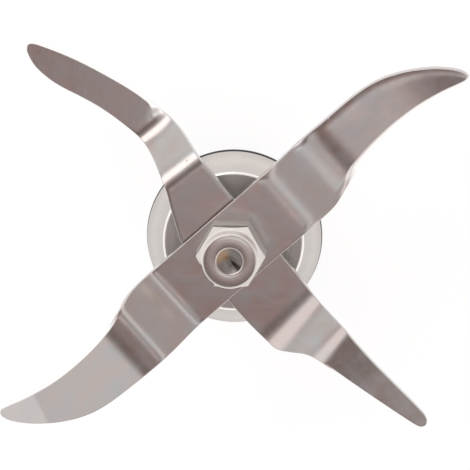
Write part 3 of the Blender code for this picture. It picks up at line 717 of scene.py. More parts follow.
def lower_arms():
    rear = Arm(
        heading=radians(86), grind_start=0.0302, grind_share=1.0, curl=0.0, heel=0.0027,
        bends=(Bend(0.0199, REAR_RAMP, 0.0048), Bend(0.0292, tan(radians(-3)), 0.0062, 0.0022, 0.15)),
        left=(
            (0.0075, 0.0083), (0.0145, 0.0055), (0.0193, 0.0035), (0.0250, 0.0023), (0.0300, 0.0024),
            (0.0355, 0.0036), (0.0406, 0.0052), (0.0450, 0.0071), (0.0494, 0.0092), (0.0530, 0.0104),
            (0.0565, 0.0109), (0.0596, 0.0104), (0.0608, 0.0095)),
        right=(
            (0.0075, -0.0068), (0.0193, -0.0063), (0.0268, -0.0061), (0.0323, -0.0049),
            (0.0377, -0.0035), (0.0425, -0.0017), (0.0492, 0.0013), (0.0545, 0.0041),
            (0.0594, 0.0072), (0.0606, 0.0083), (0.0608, 0.0088)))
    front = Arm(
        heading=radians(-82), grind_start=0.0328, grind_share=1.0, curl=0.0,
        bends=(Bend(0.0208, FRONT_RAMP, 0.0084, 0.0, 0.28),
               Bend(0.0308, tan(radians(-2.5)), 0.0070, 0.0, 0.15),
               Bend(0.0395, tan(radians(-7.2)), 0.0120)),
        left=(
            (0.0075, 0.0059), (0.0095, 0.0055), (0.0179, 0.0038), (0.0263, 0.0017), (0.0333, 0.0001),
            (0.0400, -0.0010), (0.0464, -0.0018), (0.0528, -0.0025), (0.0570, -0.0031),
            (0.0583, -0.0036), (0.0589, -0.0044)),
        right=(
            (0.0073, -0.0097), (0.0128, -0.0105), (0.0191, -0.0111), (0.0216, -0.0113),
            (0.0245, -0.0102), (0.0272, -0.0090), (0.0300, -0.0085), (0.0374, -0.0081),
            (0.0454, -0.0075), (0.0535, -0.0068), (0.0576, -0.0063), (0.0587, -0.0056),
            (0.0589, -0.0050)))
    return rear, front


def smooth_offset(points, at):
    """Offset at a reach on the smooth curve through an edge's points."""
    knots = [tuple(2 * a - b for a, b in zip(points[0], points[1])), *points,
             tuple(2 * a - b for a, b in zip(points[-1], points[-2]))]
    index = max(k for k in range(len(points) - 1) if points[k][0] <= at or k == 0)
    before, start, end, after = knots[index:index + 4]

    def along(part, t):
        square = 2 * before[part] - 5 * start[part] + 4 * end[part] - after[part]
        cube = 3 * start[part] - before[part] - 3 * end[part] + after[part]
        return start[part] + ((end[part] - before[part]) * t + square * t**2 + cube * t**3) / 2

    lower, upper = 0.0, 1.0
    for _ in range(SEARCH_STEPS):
        middle = (lower + upper) / 2
        if along(0, middle) < at:
            lower = middle
        else:
            upper = middle
    return along(1, (lower + upper) / 2)


def eased(t):
    t = min(1.0, max(0.0, t))
    return t * t * (3 - 2 * t)


def bent_height(bends, reach, across):
    """Height and slope of the sheet at a reach, and how far its side edges sink there.

    Across runs from -1 at the right edge to 1 at the left.
    """
    height = drop = slope = before = 0.0
    for bend in bends:
        shift = bend.hook * ((1 - across) / 2)**2 - bend.bow * (1 - across**2)
        width = bend.width * (1 - bend.flare * across)
        turn = bend.slope - before
        before = bend.slope
        t = (reach - bend.reach - shift) / width + 0.5
        inside = min(1.0, max(0.0, t))
        height += turn * width * (inside**3 - inside**4 / 2) + turn * shift * eased(t)
        if t > 1:
            height += turn * (reach - bend.reach - shift - width / 2)
        slope += turn * eased(t)
        drop += bend.drop * (4 * inside * (1 - inside))**2
    return height, slope, drop


def stations(arm):
    """Reaches from the hub to the tip, closer together where the tip's outline turns."""
    tip = arm.left[-1][0]
    run = tip - TIP_LENGTH - HUB_REACH
    count = round(run / STATION_STEP)
    reaches = [HUB_REACH + run * k / count for k in range(count)]
    shares = [(1 - k / TIP_STATIONS)**TIP_CROWDING for k in range(TIP_STATIONS + 1)]
    return reaches + [tip - TIP_LENGTH * share for share in shares]


def columns(width, roll, grind):
    """Distances from the right edge, dense at both edges, and the scale that makes them fit."""
    side = [roll * share for share in ROLL_COLUMNS]
    side += [roll + (grind - roll) * share for share in GRIND_COLUMNS]
    scale = min(1.0, SIDE_LIMIT * width / side[-1])
    side = [scale * distance for distance in side]
    room = width - 2 * side[-1]
    middle = [side[-1] + room * k / (MIDDLE_COLUMNS + 1) for k in range(1, MIDDLE_COLUMNS + 1)]
    return side + middle + [width - distance for distance in reversed(side)], scale


def arm_points(arm, sizes, grind, mid_height):
    """Rows of (top point, bottom point, share of lighter ground band and painted tip highlight) across the
    arm, from hub to tip.
    """
    along = Vector((*polar(1.0, arm.heading), 0))
    sideways = Vector((-along.y, along.x, 0))
    tip = arm.left[-1][0]
    half = sizes.thickness / 2
    depth = sizes.thickness - sizes.cutting_edge
    rows = []
    for reach in stations(arm):
        left = smooth_offset(arm.left, reach)
        right = smooth_offset(arm.right, reach)
        past_start = reach - arm.grind_start
        run = min(1.0, max(0.0, past_start / (tip - arm.grind_start)))
        band = grind * arm.grind_share * (1 - WING_GRIND_SHARE * run)
        band += arm.heel * (1 - eased(past_start / HEEL_LENGTH))
        across, scale = columns(left - right, sizes.roll, band)
        rolled = sizes.roll * scale
        share = eased(past_start / sizes.grind_run_in)
        fresh = min(1.0, HEEL_ONSET * share) if arm.heel else share
        row = []
        for distance in across:
            level = 2 * distance / (left - right) - 1
            from_left = left - right - distance
            near = min(distance, from_left)
            height, slope, drop = bent_height(arm.bends, reach, level)
            up = (Vector((0, 0, 1)) - slope * along).normalized()
            offset = right + distance
            middle = reach * along + offset * sideways + Vector((0, 0, mid_height + height))
            middle.z -= drop * max(0.0, 1 - near / DROP_WIDTH)**2
            middle.z -= arm.curl * share * max(0.0, 1 - from_left / CURL_WIDTH)**2
            lowered = rolled * (1 - sqrt(1 - (1 - near / rolled)**2)) if near < rolled else 0.0
            bevel = max(0.0, 1 - distance / (band * scale))
            ground = depth * bevel**GRIND_HOLLOW
            if distance < (left - right) / 2:
                lowered = (1 - share) * lowered + share * ground
            # The raised arm's tip is painted towards the ground band's lighter tone: a painted highlight
            past = reach - PALE_REACH - PALE_SLANT * (level - 1) / 2
            band_and_highlight = max(fresh * min(1.0, MARK_ONSET * bevel), arm.pale * eased(past / PALE_FADE))
            row.append((middle + (half - lowered) * up, middle - half * up, band_and_highlight))
        rows.append(row)
    return rows


def build_strip(first, second, sizes, grind, top):
    """One strip as a closed mesh: a grid laid out flat, given its thickness, then bent into place."""
    mid_height = top - sizes.thickness / 2
    inward = [row[::-1] for row in arm_points(first, sizes, grind, mid_height)][::-1]
    rows = inward + arm_points(second, sizes, grind, mid_height)
    last_row, last_column = len(rows) - 1, len(rows[0]) - 1
    bm = bmesh.new()
    bmesh.ops.create_grid(bm, x_segments=last_row, y_segments=last_column, size=0.5)
    swept = bmesh.ops.extrude_face_region(bm, geom=bm.faces[:])
    lowered = [part for part in swept["geom"] if isinstance(part, bmesh.types.BMVert)]
    bmesh.ops.translate(bm, verts=lowered, vec=(0, 0, -1))
    ground = bm.verts.layers.float.new("ground")
    for vert in bm.verts:
        row = rows[round((vert.co.x + 0.5) * last_row)]
        top_point, bottom_point, band_and_highlight = row[round((vert.co.y + 0.5) * last_column)]
        on_top = vert.co.z > -0.5
        vert.co = top_point if on_top else bottom_point
        vert[ground] = band_and_highlight if on_top else 0.0
    bmesh.ops.recalc_face_normals(bm, faces=bm.faces)
    return bm


def build_blade(name, node, arms, grind, top, grain_turn):
    """One blade, with its hole for the shaft and its two flats."""
    sizes = bpy.context.scene.blade_unit_blades
    drive = bpy.context.scene.blade_unit_drive
    strip = build_strip(*arms, sizes, grind, top)
    hole = raised(
        double_d(drive.shaft_radius + FIT_GAP, drive.flat_half_width + FIT_GAP),
        top - 2 * sizes.thickness, top + sizes.thickness)
    strip = combined(strip, [("DIFFERENCE", hole)])
    finish = stamped_steel(name + "_steel", grain_turn)
    add_piece(strip, name, finish, "rotor", [node])


class AddBlades(Operator):
    """Add the two crossed blades with their ground edges"""

    bl_idname = "blade_unit.add_blades"
    bl_label = "Blades"

    def execute(self, context):
        sizes = context.scene.blade_unit_blades
        lower_top = high("blade_spacer") + SEAT_GAP + sizes.thickness
        upper_top = low("blade_nut") - SEAT_GAP
        build_blade("crossed_lower_blade", "lower_blade", lower_arms(), sizes.lower_grind, lower_top,
                    LOWER_GRAIN_TURN)
        build_blade("crossed_upper_blade", "upper_blade", upper_arms(sizes.upper_half_width),
                    sizes.upper_grind, upper_top, 0.0)
        return {"FINISHED"}


# Nut

DRILL_POINT = radians(118)
NUT_FOOT = 0.00026
THREAD_DEPTH = 0.0068
BLANK_MARGIN = 0.001
NUT_INNER_ROUND = 0.0003
NECK_ROUND = 0.0001
RING_ROUND = 0.00012
DIMPLE_ROUND = 0.00014
SHARP_CORNER = radians(20)

# The nut's finish: where its marks begin, how deep the painted shade in its dimple goes, tones and
# roughness
NUT_MARKS = 0.0056
DIMPLE_PAINT_DEPTH = 0.0025
# The dimple's dark tone is painted shade in the recess
DIMPLE_SHADE_TONE = (0.27, 0.25, 0.24, 1.0)
DIMPLE_DULLING = 0.12
NECK_TONE = (0.82, 0.77, 0.74, 1.0)
NECK_DULLING = 0.25

# Where each mask of the nut begins and ends, from its radius
DIMPLE_FADE = (-0.0003, -0.0001)
RING_FADE = (0.0002, 0.0003)
NECK_FADE = (0.0002, 0.0004)

# A wedge of painted reflection in the dimple: its heading from the axis, its half span, its soft margin
# and its colour
PaintedReflection = namedtuple("PaintedReflection", "heading half_span soft colour")
DIMPLE_REFLECTIONS = (
    PaintedReflection(radians(104), radians(66), radians(40), (0.33, 0.235, 0.165, 1.0)),
    PaintedReflection(radians(-80), radians(26), radians(18), (0.045, 0.035, 0.035, 1.0)))


def build_nut_mesh(sizes):
    """Spins a blank with its bore and dimple, and cuts the six sides off it."""
    bottom, top = low("blade_nut") - NUT_FOOT, high("blade_nut")
    bore = bpy.context.scene.blade_unit_drive.shaft_radius + FIT_GAP
    flat_reach = sizes.across_flats / 2
    corner = flat_reach / cos(pi / 6)
    blank = corner + BLANK_MARGIN
    shoulder = bottom + NUT_FOOT + sizes.hex_height
    neck_foot = shoulder + corner - sizes.neck_radius
    thread_top = bottom + THREAD_DEPTH
    neck_top = top - (sizes.neck_radius - sizes.ring_radius)
    profile = [
        (0.0, thread_top + bore / tan(DRILL_POINT / 2)), (bore, thread_top), (bore, bottom),
        (blank, bottom), (blank, shoulder - BLANK_MARGIN), (sizes.neck_radius, neck_foot),
        (sizes.neck_radius, neck_top), (sizes.ring_radius, top), (sizes.dimple_radius, top),
        (0.0, top - sizes.dimple_radius / tan(DRILL_POINT / 2))]
    bm = spun(profile, [(2, NUT_INNER_ROUND), (5, NUT_INNER_ROUND), (6, NECK_ROUND), (7, RING_ROUND),
                        (8, DIMPLE_ROUND)])
    for side in range(6):
        direction = Vector((*polar(1.0, sizes.turn + pi / 6 + side * pi / 3), 0))
        cut = bmesh.ops.bisect_plane(
            bm, geom=bm.verts[:] + bm.edges[:] + bm.faces[:], dist=MERGE_DISTANCE,
            plane_co=direction * flat_reach, plane_no=direction, clear_outer=True)
        rim = [part for part in cut["geom_cut"] if isinstance(part, bmesh.types.BMEdge)]
        bmesh.ops.edgeloop_fill(bm, edges=rim)
    bmesh.ops.recalc_face_normals(bm, faces=bm.faces)
    edges = [e for e in bm.edges
             if len(e.link_faces) == 2 and any(len(face.verts) > 8 for face in e.link_faces)
             and e.calc_face_angle() > SHARP_CORNER
             and min(Vector(v.co.xy).length for v in e.verts) > flat_reach - MERGE_DISTANCE]
    break_edges(bm, edges, sizes.edge_break)
    return bm


def faded(radius, steps):
    return [radius + step for step in steps]


def nut_steel(name):
    """The nut's turned steel, with painted shade and painted warm and dark reflections in its dimple."""
    sizes = bpy.context.scene.blade_unit_nut
    material = turned_steel(name, pitch=0.00014, marks_from=low("blade_nut") + NUT_MARKS, tone=0.94)
    tree, shader, colour, sheen, place, radius = reopened(material)
    inside = falling(tree, radius, *faded(sizes.dimple_radius, DIMPLE_FADE))
    above = maths(tree, "GREATER_THAN", place["Z"], high("blade_nut") - DIMPLE_PAINT_DEPTH)
    dimple = maths(tree, "MULTIPLY", inside, above)
    past_ring = rising(tree, radius, *faded(sizes.ring_radius, RING_FADE))
    past_neck = rising(tree, radius, *faded(sizes.neck_radius, NECK_FADE))
    neck = maths(tree, "SUBTRACT", past_ring, past_neck)
    colour = blend_colours(tree, dimple, colour, DIMPLE_SHADE_TONE)
    colour = blend_colours(tree, neck, colour, NECK_TONE)
    sheen = plus(tree, plus(tree, sheen, neck, NECK_DULLING), dimple, DIMPLE_DULLING)
    angle = maths(tree, "ARCTAN2", place["Y"], place["X"])
    # Each wedge is a painted reflection: warm on one side of the dimple, dark on the other
    for reflection in DIMPLE_REFLECTIONS:
        turn = maths(tree, "WRAP", maths(tree, "SUBTRACT", angle, reflection.heading), pi, -pi)
        away = maths(tree, "ABSOLUTE", turn)
        wedge = falling(tree, away, reflection.half_span - reflection.soft, reflection.half_span)
        colour = blend_colours(tree, maths(tree, "MULTIPLY", wedge, dimple), colour, reflection.colour)
    connect(tree, shader, {"Base Color": colour, "Roughness": sheen})
    return material


class AddNut(Operator):
    """Add the closed hexagonal nut"""

    bl_idname = "blade_unit.add_nut"
    bl_label = "Nut"

    def execute(self, context):
        bm = build_nut_mesh(context.scene.blade_unit_nut)
        add_piece(bm, "closed_hex_nut", nut_steel("nut_steel"), "rotor", ["blade_nut"])
        return {"FINISHED"}


# Shaft, thrower, coupling and pin

SHAFT_CHAMFER = 0.0005
COLLAR_WALL = 0.0016
COLLAR_THICKNESS = 0.0016
SLEEVE_WALL = 0.0020
THROWER_THICKNESS = 0.0016
COUPLING_FLOOR = 0.0025
COUPLING_ROOT_RADIUS = 0.0066
COUPLING_LOBES = 6
LOBE_TIP_ANGLE = radians(9)
LOBE_ROOT_ANGLE = radians(17)
COUPLING_TOP_EDGE = 0.0002
PIN_CHAMFER = 0.0002
COLLAR_ROUND = 0.00015
COLLAR_FOOT_ROUND = 0.0002
BORE_ROUND = 0.00015
SLEEVE_ROUND = 0.0002
DISC_FOOT_ROUND = 0.0004
DISC_ROUND = 0.0003


def pin_hole(length):
    """Cutter for the cross pin's hole."""
    pin_low, pin_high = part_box("coupling_pin")
    level = (pin_low.z + pin_high.z) / 2
    return bar((pin_high.z - pin_low.z) / 2 + FIT_GAP, length, (0, 0, level), AXIS_X)


def build_shaft(drive, finish):
    """Shaft with a collar under the lower bearing, two flats for the blades and the pin's hole."""
    radius = drive.shaft_radius
    collar = radius + COLLAR_WALL
    bottom, top = low("drive_shaft"), high("drive_shaft")
    collar_top = low("lower_bearing_inner_ring") - SEAT_GAP
    collar_bottom = collar_top - COLLAR_THICKNESS
    bm = spun([
        (0.0, bottom), (radius - SHAFT_CHAMFER, bottom), (radius, bottom + SHAFT_CHAMFER),
        (radius, collar_bottom), (collar, collar_bottom), (collar, collar_top), (radius, collar_top),
        (radius, top - SHAFT_CHAMFER), (radius - SHAFT_CHAMFER, top), (0.0, top)],
        [(3, COLLAR_FOOT_ROUND), (4, COLLAR_ROUND), (5, COLLAR_ROUND)])
    flats_foot = high("blade_spacer") - THROWER_THICKNESS
    height = top + radius - flats_foot
    cuts = []
    for side in (1, -1):
        middle = (0, side * (drive.flat_half_width + radius / 2), flats_foot + height / 2)
        flat = bmesh.new()
        bmesh.ops.create_cube(
            flat, size=1.0,
            matrix=Matrix.Translation(middle) @ Matrix.Diagonal((4 * radius, radius, height, 1)))
        cuts.append(("DIFFERENCE", flat))
    cuts.append(("DIFFERENCE", pin_hole(4 * radius)))
    add_piece(combined(bm, cuts), "turned_shaft", finish, "rotor", ["drive_shaft"])


def build_thrower(drive, finish):
    """Sleeve under the blades with its thrower disc."""
    bore = drive.shaft_radius + FIT_GAP
    sleeve = drive.shaft_radius + SLEEVE_WALL
    bottom, top = low("blade_spacer"), high("blade_spacer")
    disc = reach_x("blade_spacer")
    underside = top - THROWER_THICKNESS
    bm = spun([
        (bore, bottom), (sleeve, bottom), (sleeve, underside), (disc, underside), (disc, top),
        (bore, top)],
        [(0, BORE_ROUND), (1, SLEEVE_ROUND), (2, DISC_FOOT_ROUND), (3, SLEEVE_ROUND), (4, DISC_ROUND),
         (5, BORE_ROUND)])
    add_piece(bm, "thrower_sleeve", finish, "rotor", ["blade_spacer"])


def build_coupling(drive, finish):
    """Star with six lobes, a blind bore for the shaft and the pin's hole."""
    height = high("drive_coupling")
    tip_radius = max(Vector(v.co.xy).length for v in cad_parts["drive_coupling"].data.vertices)
    outline = []
    for index in range(COUPLING_LOBES):
        middle = 2 * pi * (index + 0.5) / COUPLING_LOBES
        for turn, radius in (
                (-LOBE_ROOT_ANGLE, COUPLING_ROOT_RADIUS), (-LOBE_TIP_ANGLE, tip_radius),
                (LOBE_TIP_ANGLE, tip_radius), (LOBE_ROOT_ANGLE, COUPLING_ROOT_RADIUS)):
            outline.append(polar(radius, middle + turn))
    star = raised(
        outline, 0.0, height, round_at=range(len(outline)), round_radius=drive.lobe_round,
        foot_edge=drive.foot_chamfer, top_edge=COUPLING_TOP_EDGE)
    length = 2 * (height - COUPLING_FLOOR)
    bore = bar(drive.shaft_radius + FIT_GAP, length, (0, 0, COUPLING_FLOOR + length / 2), AXIS_Z)
    star = combined(star, [("DIFFERENCE", bore), ("DIFFERENCE", pin_hole(4 * tip_radius))])
    add_piece(star, "star_coupling", finish, "rotor", ["drive_coupling"])


def build_pin(finish):
    pin_low, pin_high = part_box("coupling_pin")
    bm = bar((pin_high.z - pin_low.z) / 2, pin_high.x - pin_low.x, (pin_low + pin_high) / 2, AXIS_X,
             edge=PIN_CHAMFER)
    add_piece(bm, "cross_pin", finish, "rotor", ["coupling_pin"])


class AddDrive(Operator):
    """Add the shaft, the thrower under the blades, the star coupling and its pin"""

    bl_idname = "blade_unit.add_drive"
    bl_label = "Shaft and coupling"

    def execute(self, context):
        drive = context.scene.blade_unit_drive
        steel = shared_finish("fine_turned_steel")
        build_shaft(drive, steel)
        build_thrower(drive, steel)
        build_coupling(drive, shared_finish("glass_filled_plastic"))
        build_pin(shared_finish("ground_bearing_steel"))
        return {"FINISHED"}


# Bearings and the tubes between them

SPACER_WALL = 0.0014
BALL_SEAT_DEPTH = 0.000535
GROOVE_STEPS = 14
POCKET_STEPS = 32
TUBE_EDGE = 0.0002


def groove(side, middle, circle, ball_radius, space):
    """Section of the ball groove, rising, in the outer ring (side 1) or the inner ring (side -1)."""
    radius = ball_radius + RACE_GAP
    half_angle = acos(space / 2 / radius)
    angles = [half_angle * (2 * k / GROOVE_STEPS - 1) for k in range(GROOVE_STEPS + 1)]
    return [(circle + side * radius * cos(angle), middle + radius * sin(angle)) for angle in angles]


def build_bearing(prefix, settings, bore, steel, brass):
    """One bearing: both rings with their ball grooves, the cage and the balls."""
    outer_node, inner_node = f"{prefix}_outer_ring", f"{prefix}_inner_ring"
    bottom, top = low(outer_node), high(outer_node)
    middle = (bottom + top) / 2
    ball_low, ball_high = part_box(f"{prefix}_ball_1")
    ball_radius = (ball_high.z - ball_low.z) / 2
    space = 2 * (ball_radius - BALL_SEAT_DEPTH)
    shoulder = reach_x(inner_node)
    circle = shoulder + space / 2
    edge = settings.ring_edge
    for node, name, body, side, land, back, steps in (
            (outer_node, "outer_race", "housing", 1, shoulder + space, reach_x(outer_node), ROUND_STEPS),
            (inner_node, "inner_race", "rotor", -1, shoulder, bore, ROUND_STEPS // 2)):
        section = [(land, top), (back, top), (back, bottom), (land, bottom)]
        section += groove(side, middle, circle, ball_radius, space)
        bm = spun(section, [(0, edge / 2), (1, edge), (2, edge), (3, edge / 2)], steps)
        add_piece(bm, f"{prefix}_{name}", steel, body, [node])
    turns = [2 * pi * index / settings.ball_count for index in range(settings.ball_count)]
    centres = [(*polar(circle, turn), middle) for turn in turns]
    body = prefix.replace("_bearing", "_cage")
    build_cage(prefix, body, settings, circle, centres, ball_radius, brass)
    for number, centre in enumerate(centres, 1):
        add_piece(ball(ball_radius, centre), f"{prefix}_steel_ball_{number}", steel, body,
                  [f"{prefix}_ball_{number}"])


def build_cage(prefix, body, settings, circle, centres, ball_radius, brass):
    """Crown of sheet brass with a pocket for every ball."""
    node = f"{prefix}_cage"
    outer = reach_x(node)
    crown = ring(2 * circle - outer, outer, low(node), high(node), settings.cage_edge)
    pockets = [("DIFFERENCE", ball(ball_radius + RACE_GAP, centre, POCKET_STEPS)) for centre in centres]
    add_piece(combined(crown, pockets), f"{prefix}_crown_cage", brass, body, [node])


def build_tubes(bore, steel):
    """The tubes between the inner and between the outer rings."""
    bottom, top = low("inner_bearing_spacer"), high("inner_bearing_spacer")
    outside = reach_x("outer_bearing_spacer")
    for name, node, inner, outer, body in (
            ("inner_spacer_tube", "inner_bearing_spacer", bore, bore + SPACER_WALL, "rotor"),
            ("outer_spacer_tube", "outer_bearing_spacer", outside - SPACER_WALL, outside, "housing")):
        bm = ring(inner, outer, bottom, top, TUBE_EDGE)
        add_piece(bm, name, steel, body, [node])


class AddBearings(Operator):
    """Add both ball bearings, with their cages and balls, and the tubes between them"""

    bl_idname = "blade_unit.add_bearings"
    bl_label = "Bearings"

    def execute(self, context):
        settings = context.scene.blade_unit_bearings
        bore = context.scene.blade_unit_drive.shaft_radius + FIT_GAP
        steel, brass = shared_finish("ground_bearing_steel"), shared_finish("pressed_brass")
        for prefix in ("lower_bearing", "upper_bearing"):
            build_bearing(prefix, settings, bore, steel, brass)
        build_tubes(bore, shared_finish("fine_turned_steel"))
        return {"FINISHED"}


# Housing, gasket, seal and clip

HOUSING_CHAMFER = 0.0005
CONE_RUN = 0.00406
RING_RUN = 0.00032
RING_TILT = radians(41)
SPIGOT_WALL = 0.00165
BARREL_WALL = 0.0028
WEB = 0.0020
WEB_CLEARANCE = 0.0014
CLIP_DEPTH = 0.0007
LUG_DROP = 0.0050
LUG_SPAN = radians(36)
LUG_ROOT = 0.0006
LUG_STEPS = 24
LUG_FOOT_ROUND = 0.0004
LUG_TOP_ROUND = 0.0003
GASKET_COVER = 0.0034
GASKET_RIB = 0.00025
GASKET_GROOVE = 0.0006
GASKET_SQUEEZE = 0.00022
GASKET_ROUND = 0.0002
BULGE_ROUND = 0.0003
SEAL_WALL = 0.0013
SEAL_TOP_WALL = 0.0011
SEAL_LIP_LENGTH = 0.0020
SEAL_LIP_LAND = 0.0004
SEAL_LIP_WALL = 0.0007
SEAL_ROUND = 0.0003
SEAL_LIP_ROUND = 0.0002
CLIP_WALL = 0.0014
CLIP_OPENING = radians(34)
CLIP_EAR_RADIUS = 0.0015
CLIP_EYE_RADIUS = 0.0006
CLIP_EYE_STEPS = 24
CLIP_EDGE = 0.00008
# Near-white tone of the fine ring: a painted highlight
RING_HIGHLIGHT_TONE = (1.0, 0.99, 0.97, 1.0)
RING_DEPTH = 0.001
PLATEAU_DULLING = 0.16


def housing_steel(name):
    """The housing's turned steel, a darker copy as painted shade: dull on the plateau, with a painted
    highlight in a fine ring where the cone meets it.
    """
    # tone 0.82 makes the housing a darker copy of the turned steel: painted shade under the blades
    material = turned_steel(name, tone=0.82, dulled=0.11)
    tree, shader, colour, sheen, place, radius = reopened(material)
    middle = reach_x("bearing_housing") - CONE_RUN + RING_RUN / 2
    away = maths(tree, "ABSOLUTE", maths(tree, "SUBTRACT", radius, middle))
    near = falling(tree, away, RING_RUN / 2, RING_RUN)
    above = maths(tree, "GREATER_THAN", place["Z"], high("bearing_housing") - RING_DEPTH)
    # A near-white painted highlight on the fine ring where the cone meets the plateau
    colour = blend_colours(tree, maths(tree, "MULTIPLY", near, above), colour, RING_HIGHLIGHT_TONE)
    plateau = falling(tree, radius, middle - RING_RUN, middle)
    connect(tree, shader, {
        "Base Color": colour, "Roughness": plus(tree, sheen, plateau, PLATEAU_DULLING)})
    return material


def build_housing(sizes, drive, finish):
    """Flange, spigot and barrel with their bore, the seal's pocket, the clip's groove and the lugs."""
    foot, top = low("bearing_housing"), high("bearing_housing")
    flange = reach_x("bearing_housing")
    bore = reach_x("lower_bearing_outer_ring") + FIT_GAP
    barrel = bore + BARREL_WALL
    spigot = barrel + SPIGOT_WALL
    rim_top = top - sizes.cone_height
    underside = rim_top - sizes.flange_lip
    spigot_foot = underside - sizes.spigot_height
    bore_top = high("upper_bearing_outer_ring") + SEAT_GAP
    pocket_floor = bore_top + WEB
    pocket = reach_x("shaft_seal") + FIT_GAP
    web = drive.shaft_radius + SLEEVE_WALL + WEB_CLEARANCE
    clip_low, clip_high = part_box("housing_clip")
    groove_low, groove_high = clip_low.z - FIT_GAP, clip_high.z + FIT_GAP
    profile = [
        (bore, foot), (barrel - HOUSING_CHAMFER, foot), (barrel, foot + HOUSING_CHAMFER),
        (barrel, spigot_foot), (spigot, spigot_foot), (spigot, underside), (flange, underside),
        (flange, rim_top), (flange - CONE_RUN + RING_RUN, top - RING_RUN * tan(RING_TILT)),
        (flange - CONE_RUN, top), (pocket, top), (pocket, pocket_floor),
        (web, pocket_floor), (web, bore_top), (bore, bore_top), (bore, groove_high),
        (bore + CLIP_DEPTH, groove_high), (bore + CLIP_DEPTH, groove_low), (bore, groove_low)]
    edge = sizes.edge_round
    fillets = [
        (0, edge), (1, edge), (2, edge), (3, 2 * edge), (4, edge), (5, edge), (6, 0.6 * edge),
        (7, 0.8 * edge), (9, 0.6 * edge), (10, edge), (12, edge), (13, edge)]
    bm = spun(profile, fillets)
    lug_root = barrel - LUG_ROOT
    lug_top = spigot_foot - LUG_DROP
    lug_foot = lug_top - sizes.lug_height
    lugs = []
    for index in range(sizes.lug_count):
        lug = spun(
            [(lug_root, lug_foot), (spigot, lug_foot), (spigot, lug_top), (lug_root, lug_top)],
            [(1, LUG_FOOT_ROUND), (2, LUG_TOP_ROUND)], LUG_STEPS,
            start=2 * pi * index / sizes.lug_count - LUG_SPAN / 2, span=LUG_SPAN)
        lugs.append(("UNION", lug))
    add_piece(combined(bm, lugs), "turned_housing", finish, "housing",
              ["bearing_housing"])


def build_gasket(finish):
    """Flat ring, grooved underneath, whose outside bulges a little past the flange as it is squeezed."""
    flange = reach_x("flange_gasket")
    inner = reach_x("bearing_housing") - GASKET_COVER + SEAT_GAP
    bottom, top = low("flange_gasket"), high("flange_gasket")
    middle = (inner + flange) / 2
    land = bottom + GASKET_RIB
    bm = spun([
        (inner, bottom), (middle - GASKET_GROOVE, bottom), (middle - GASKET_GROOVE / 2, land),
        (middle + GASKET_GROOVE / 2, land), (middle + GASKET_GROOVE, bottom), (flange, bottom),
        (flange + GASKET_SQUEEZE, (bottom + top) / 2), (flange, top), (inner, top)],
        [(0, GASKET_ROUND), (5, GASKET_ROUND), (6, BULGE_ROUND), (7, GASKET_ROUND), (8, GASKET_ROUND)])
    add_piece(bm, "gasket_ring", finish, "housing", ["flange_gasket"])


def build_seal(drive, finish):
    """Cup whose lip runs on the thrower's sleeve."""
    radius = reach_x("shaft_seal")
    bottom, top = low("shaft_seal"), high("shaft_seal")
    lip = drive.shaft_radius + SLEEVE_WALL + LIP_GAP
    underside = top - SEAL_TOP_WALL
    inside = radius - SEAL_WALL
    bm = spun([
        (radius, bottom), (radius, top), (lip + SEAL_LIP_WALL, top),
        (lip, top - SEAL_LIP_LENGTH + SEAL_LIP_LAND), (lip, top - SEAL_LIP_LENGTH),
        (lip + 1.5 * SEAL_LIP_WALL, underside), (inside, underside), (inside, bottom)],
        [(0, SEAL_ROUND), (1, SEAL_ROUND), (2, SEAL_LIP_ROUND), (5, SEAL_LIP_ROUND), (6, SEAL_ROUND)])
    add_piece(bm, "lip_seal", finish, "housing", ["shaft_seal"])


def build_clip(finish):
    """Spring ring with two drilled ears."""
    bottom, top = low("housing_clip"), high("housing_clip")
    outer = reach_x("lower_bearing_outer_ring") + CLIP_DEPTH
    inner = outer - CLIP_WALL
    spring = ring(inner, outer, bottom, top, CLIP_EDGE, start=CLIP_OPENING / 2,
                  span=FULL_TURN - CLIP_OPENING)
    ear_circle = inner - CLIP_EAR_RADIUS / 3
    ear_angle = CLIP_OPENING / 2 + CLIP_EAR_RADIUS / ear_circle / 2
    height = top - bottom
    shapes = []
    for side in (1, -1):
        centre = (*polar(ear_circle, side * ear_angle), (bottom + top) / 2)
        ear = bar(CLIP_EAR_RADIUS, height, centre, AXIS_Z, edge=CLIP_EDGE)
        eye = bar(CLIP_EYE_RADIUS, 3 * height, centre, AXIS_Z, CLIP_EYE_STEPS)
        shapes += [("UNION", ear), ("DIFFERENCE", eye)]
    add_piece(combined(spring, shapes), "spring_clip", finish, "housing",
              ["housing_clip"])


class AddHousing(Operator):
    """Add the turned housing with its gasket, lip seal and spring clip"""

    bl_idname = "blade_unit.add_housing"
    bl_label = "Housing"

    def execute(self, context):
        drive = context.scene.blade_unit_drive
        rubber = shared_finish("matte_rubber")
        build_housing(context.scene.blade_unit_housing, drive, housing_steel("housing_steel"))
        build_gasket(rubber)
        build_seal(drive, rubber)
        build_clip(shared_finish("phosphated_spring_steel"))
        return {"FINISHED"}


# Floor, light and camera

SENSOR_WIDTH = 36.0
FARTHEST_SEEN = 20.0
CAMERA_EYE = Vector((0.165603, 0.126539, 1.015191))
CAMERA_RIGHT = Vector((0.744134, -0.666858, -0.039555))
CAMERA_UP = Vector((0.647290, 0.734406, -0.204114))
AIM = Vector((0.0, 0.0, 0.045))
SKY_CENTRE = Vector((-0.068, -0.058, 0.9960))
FLOOR_RADIUS = 4.0
FLOOR_STEPS = 96
SHADOWED_FLOOR = (0.30, 0.30, 0.30, 1.0)
WHITE = (1.0, 1.0, 1.0, 1.0)
FLOOR_GLOW = 0.80

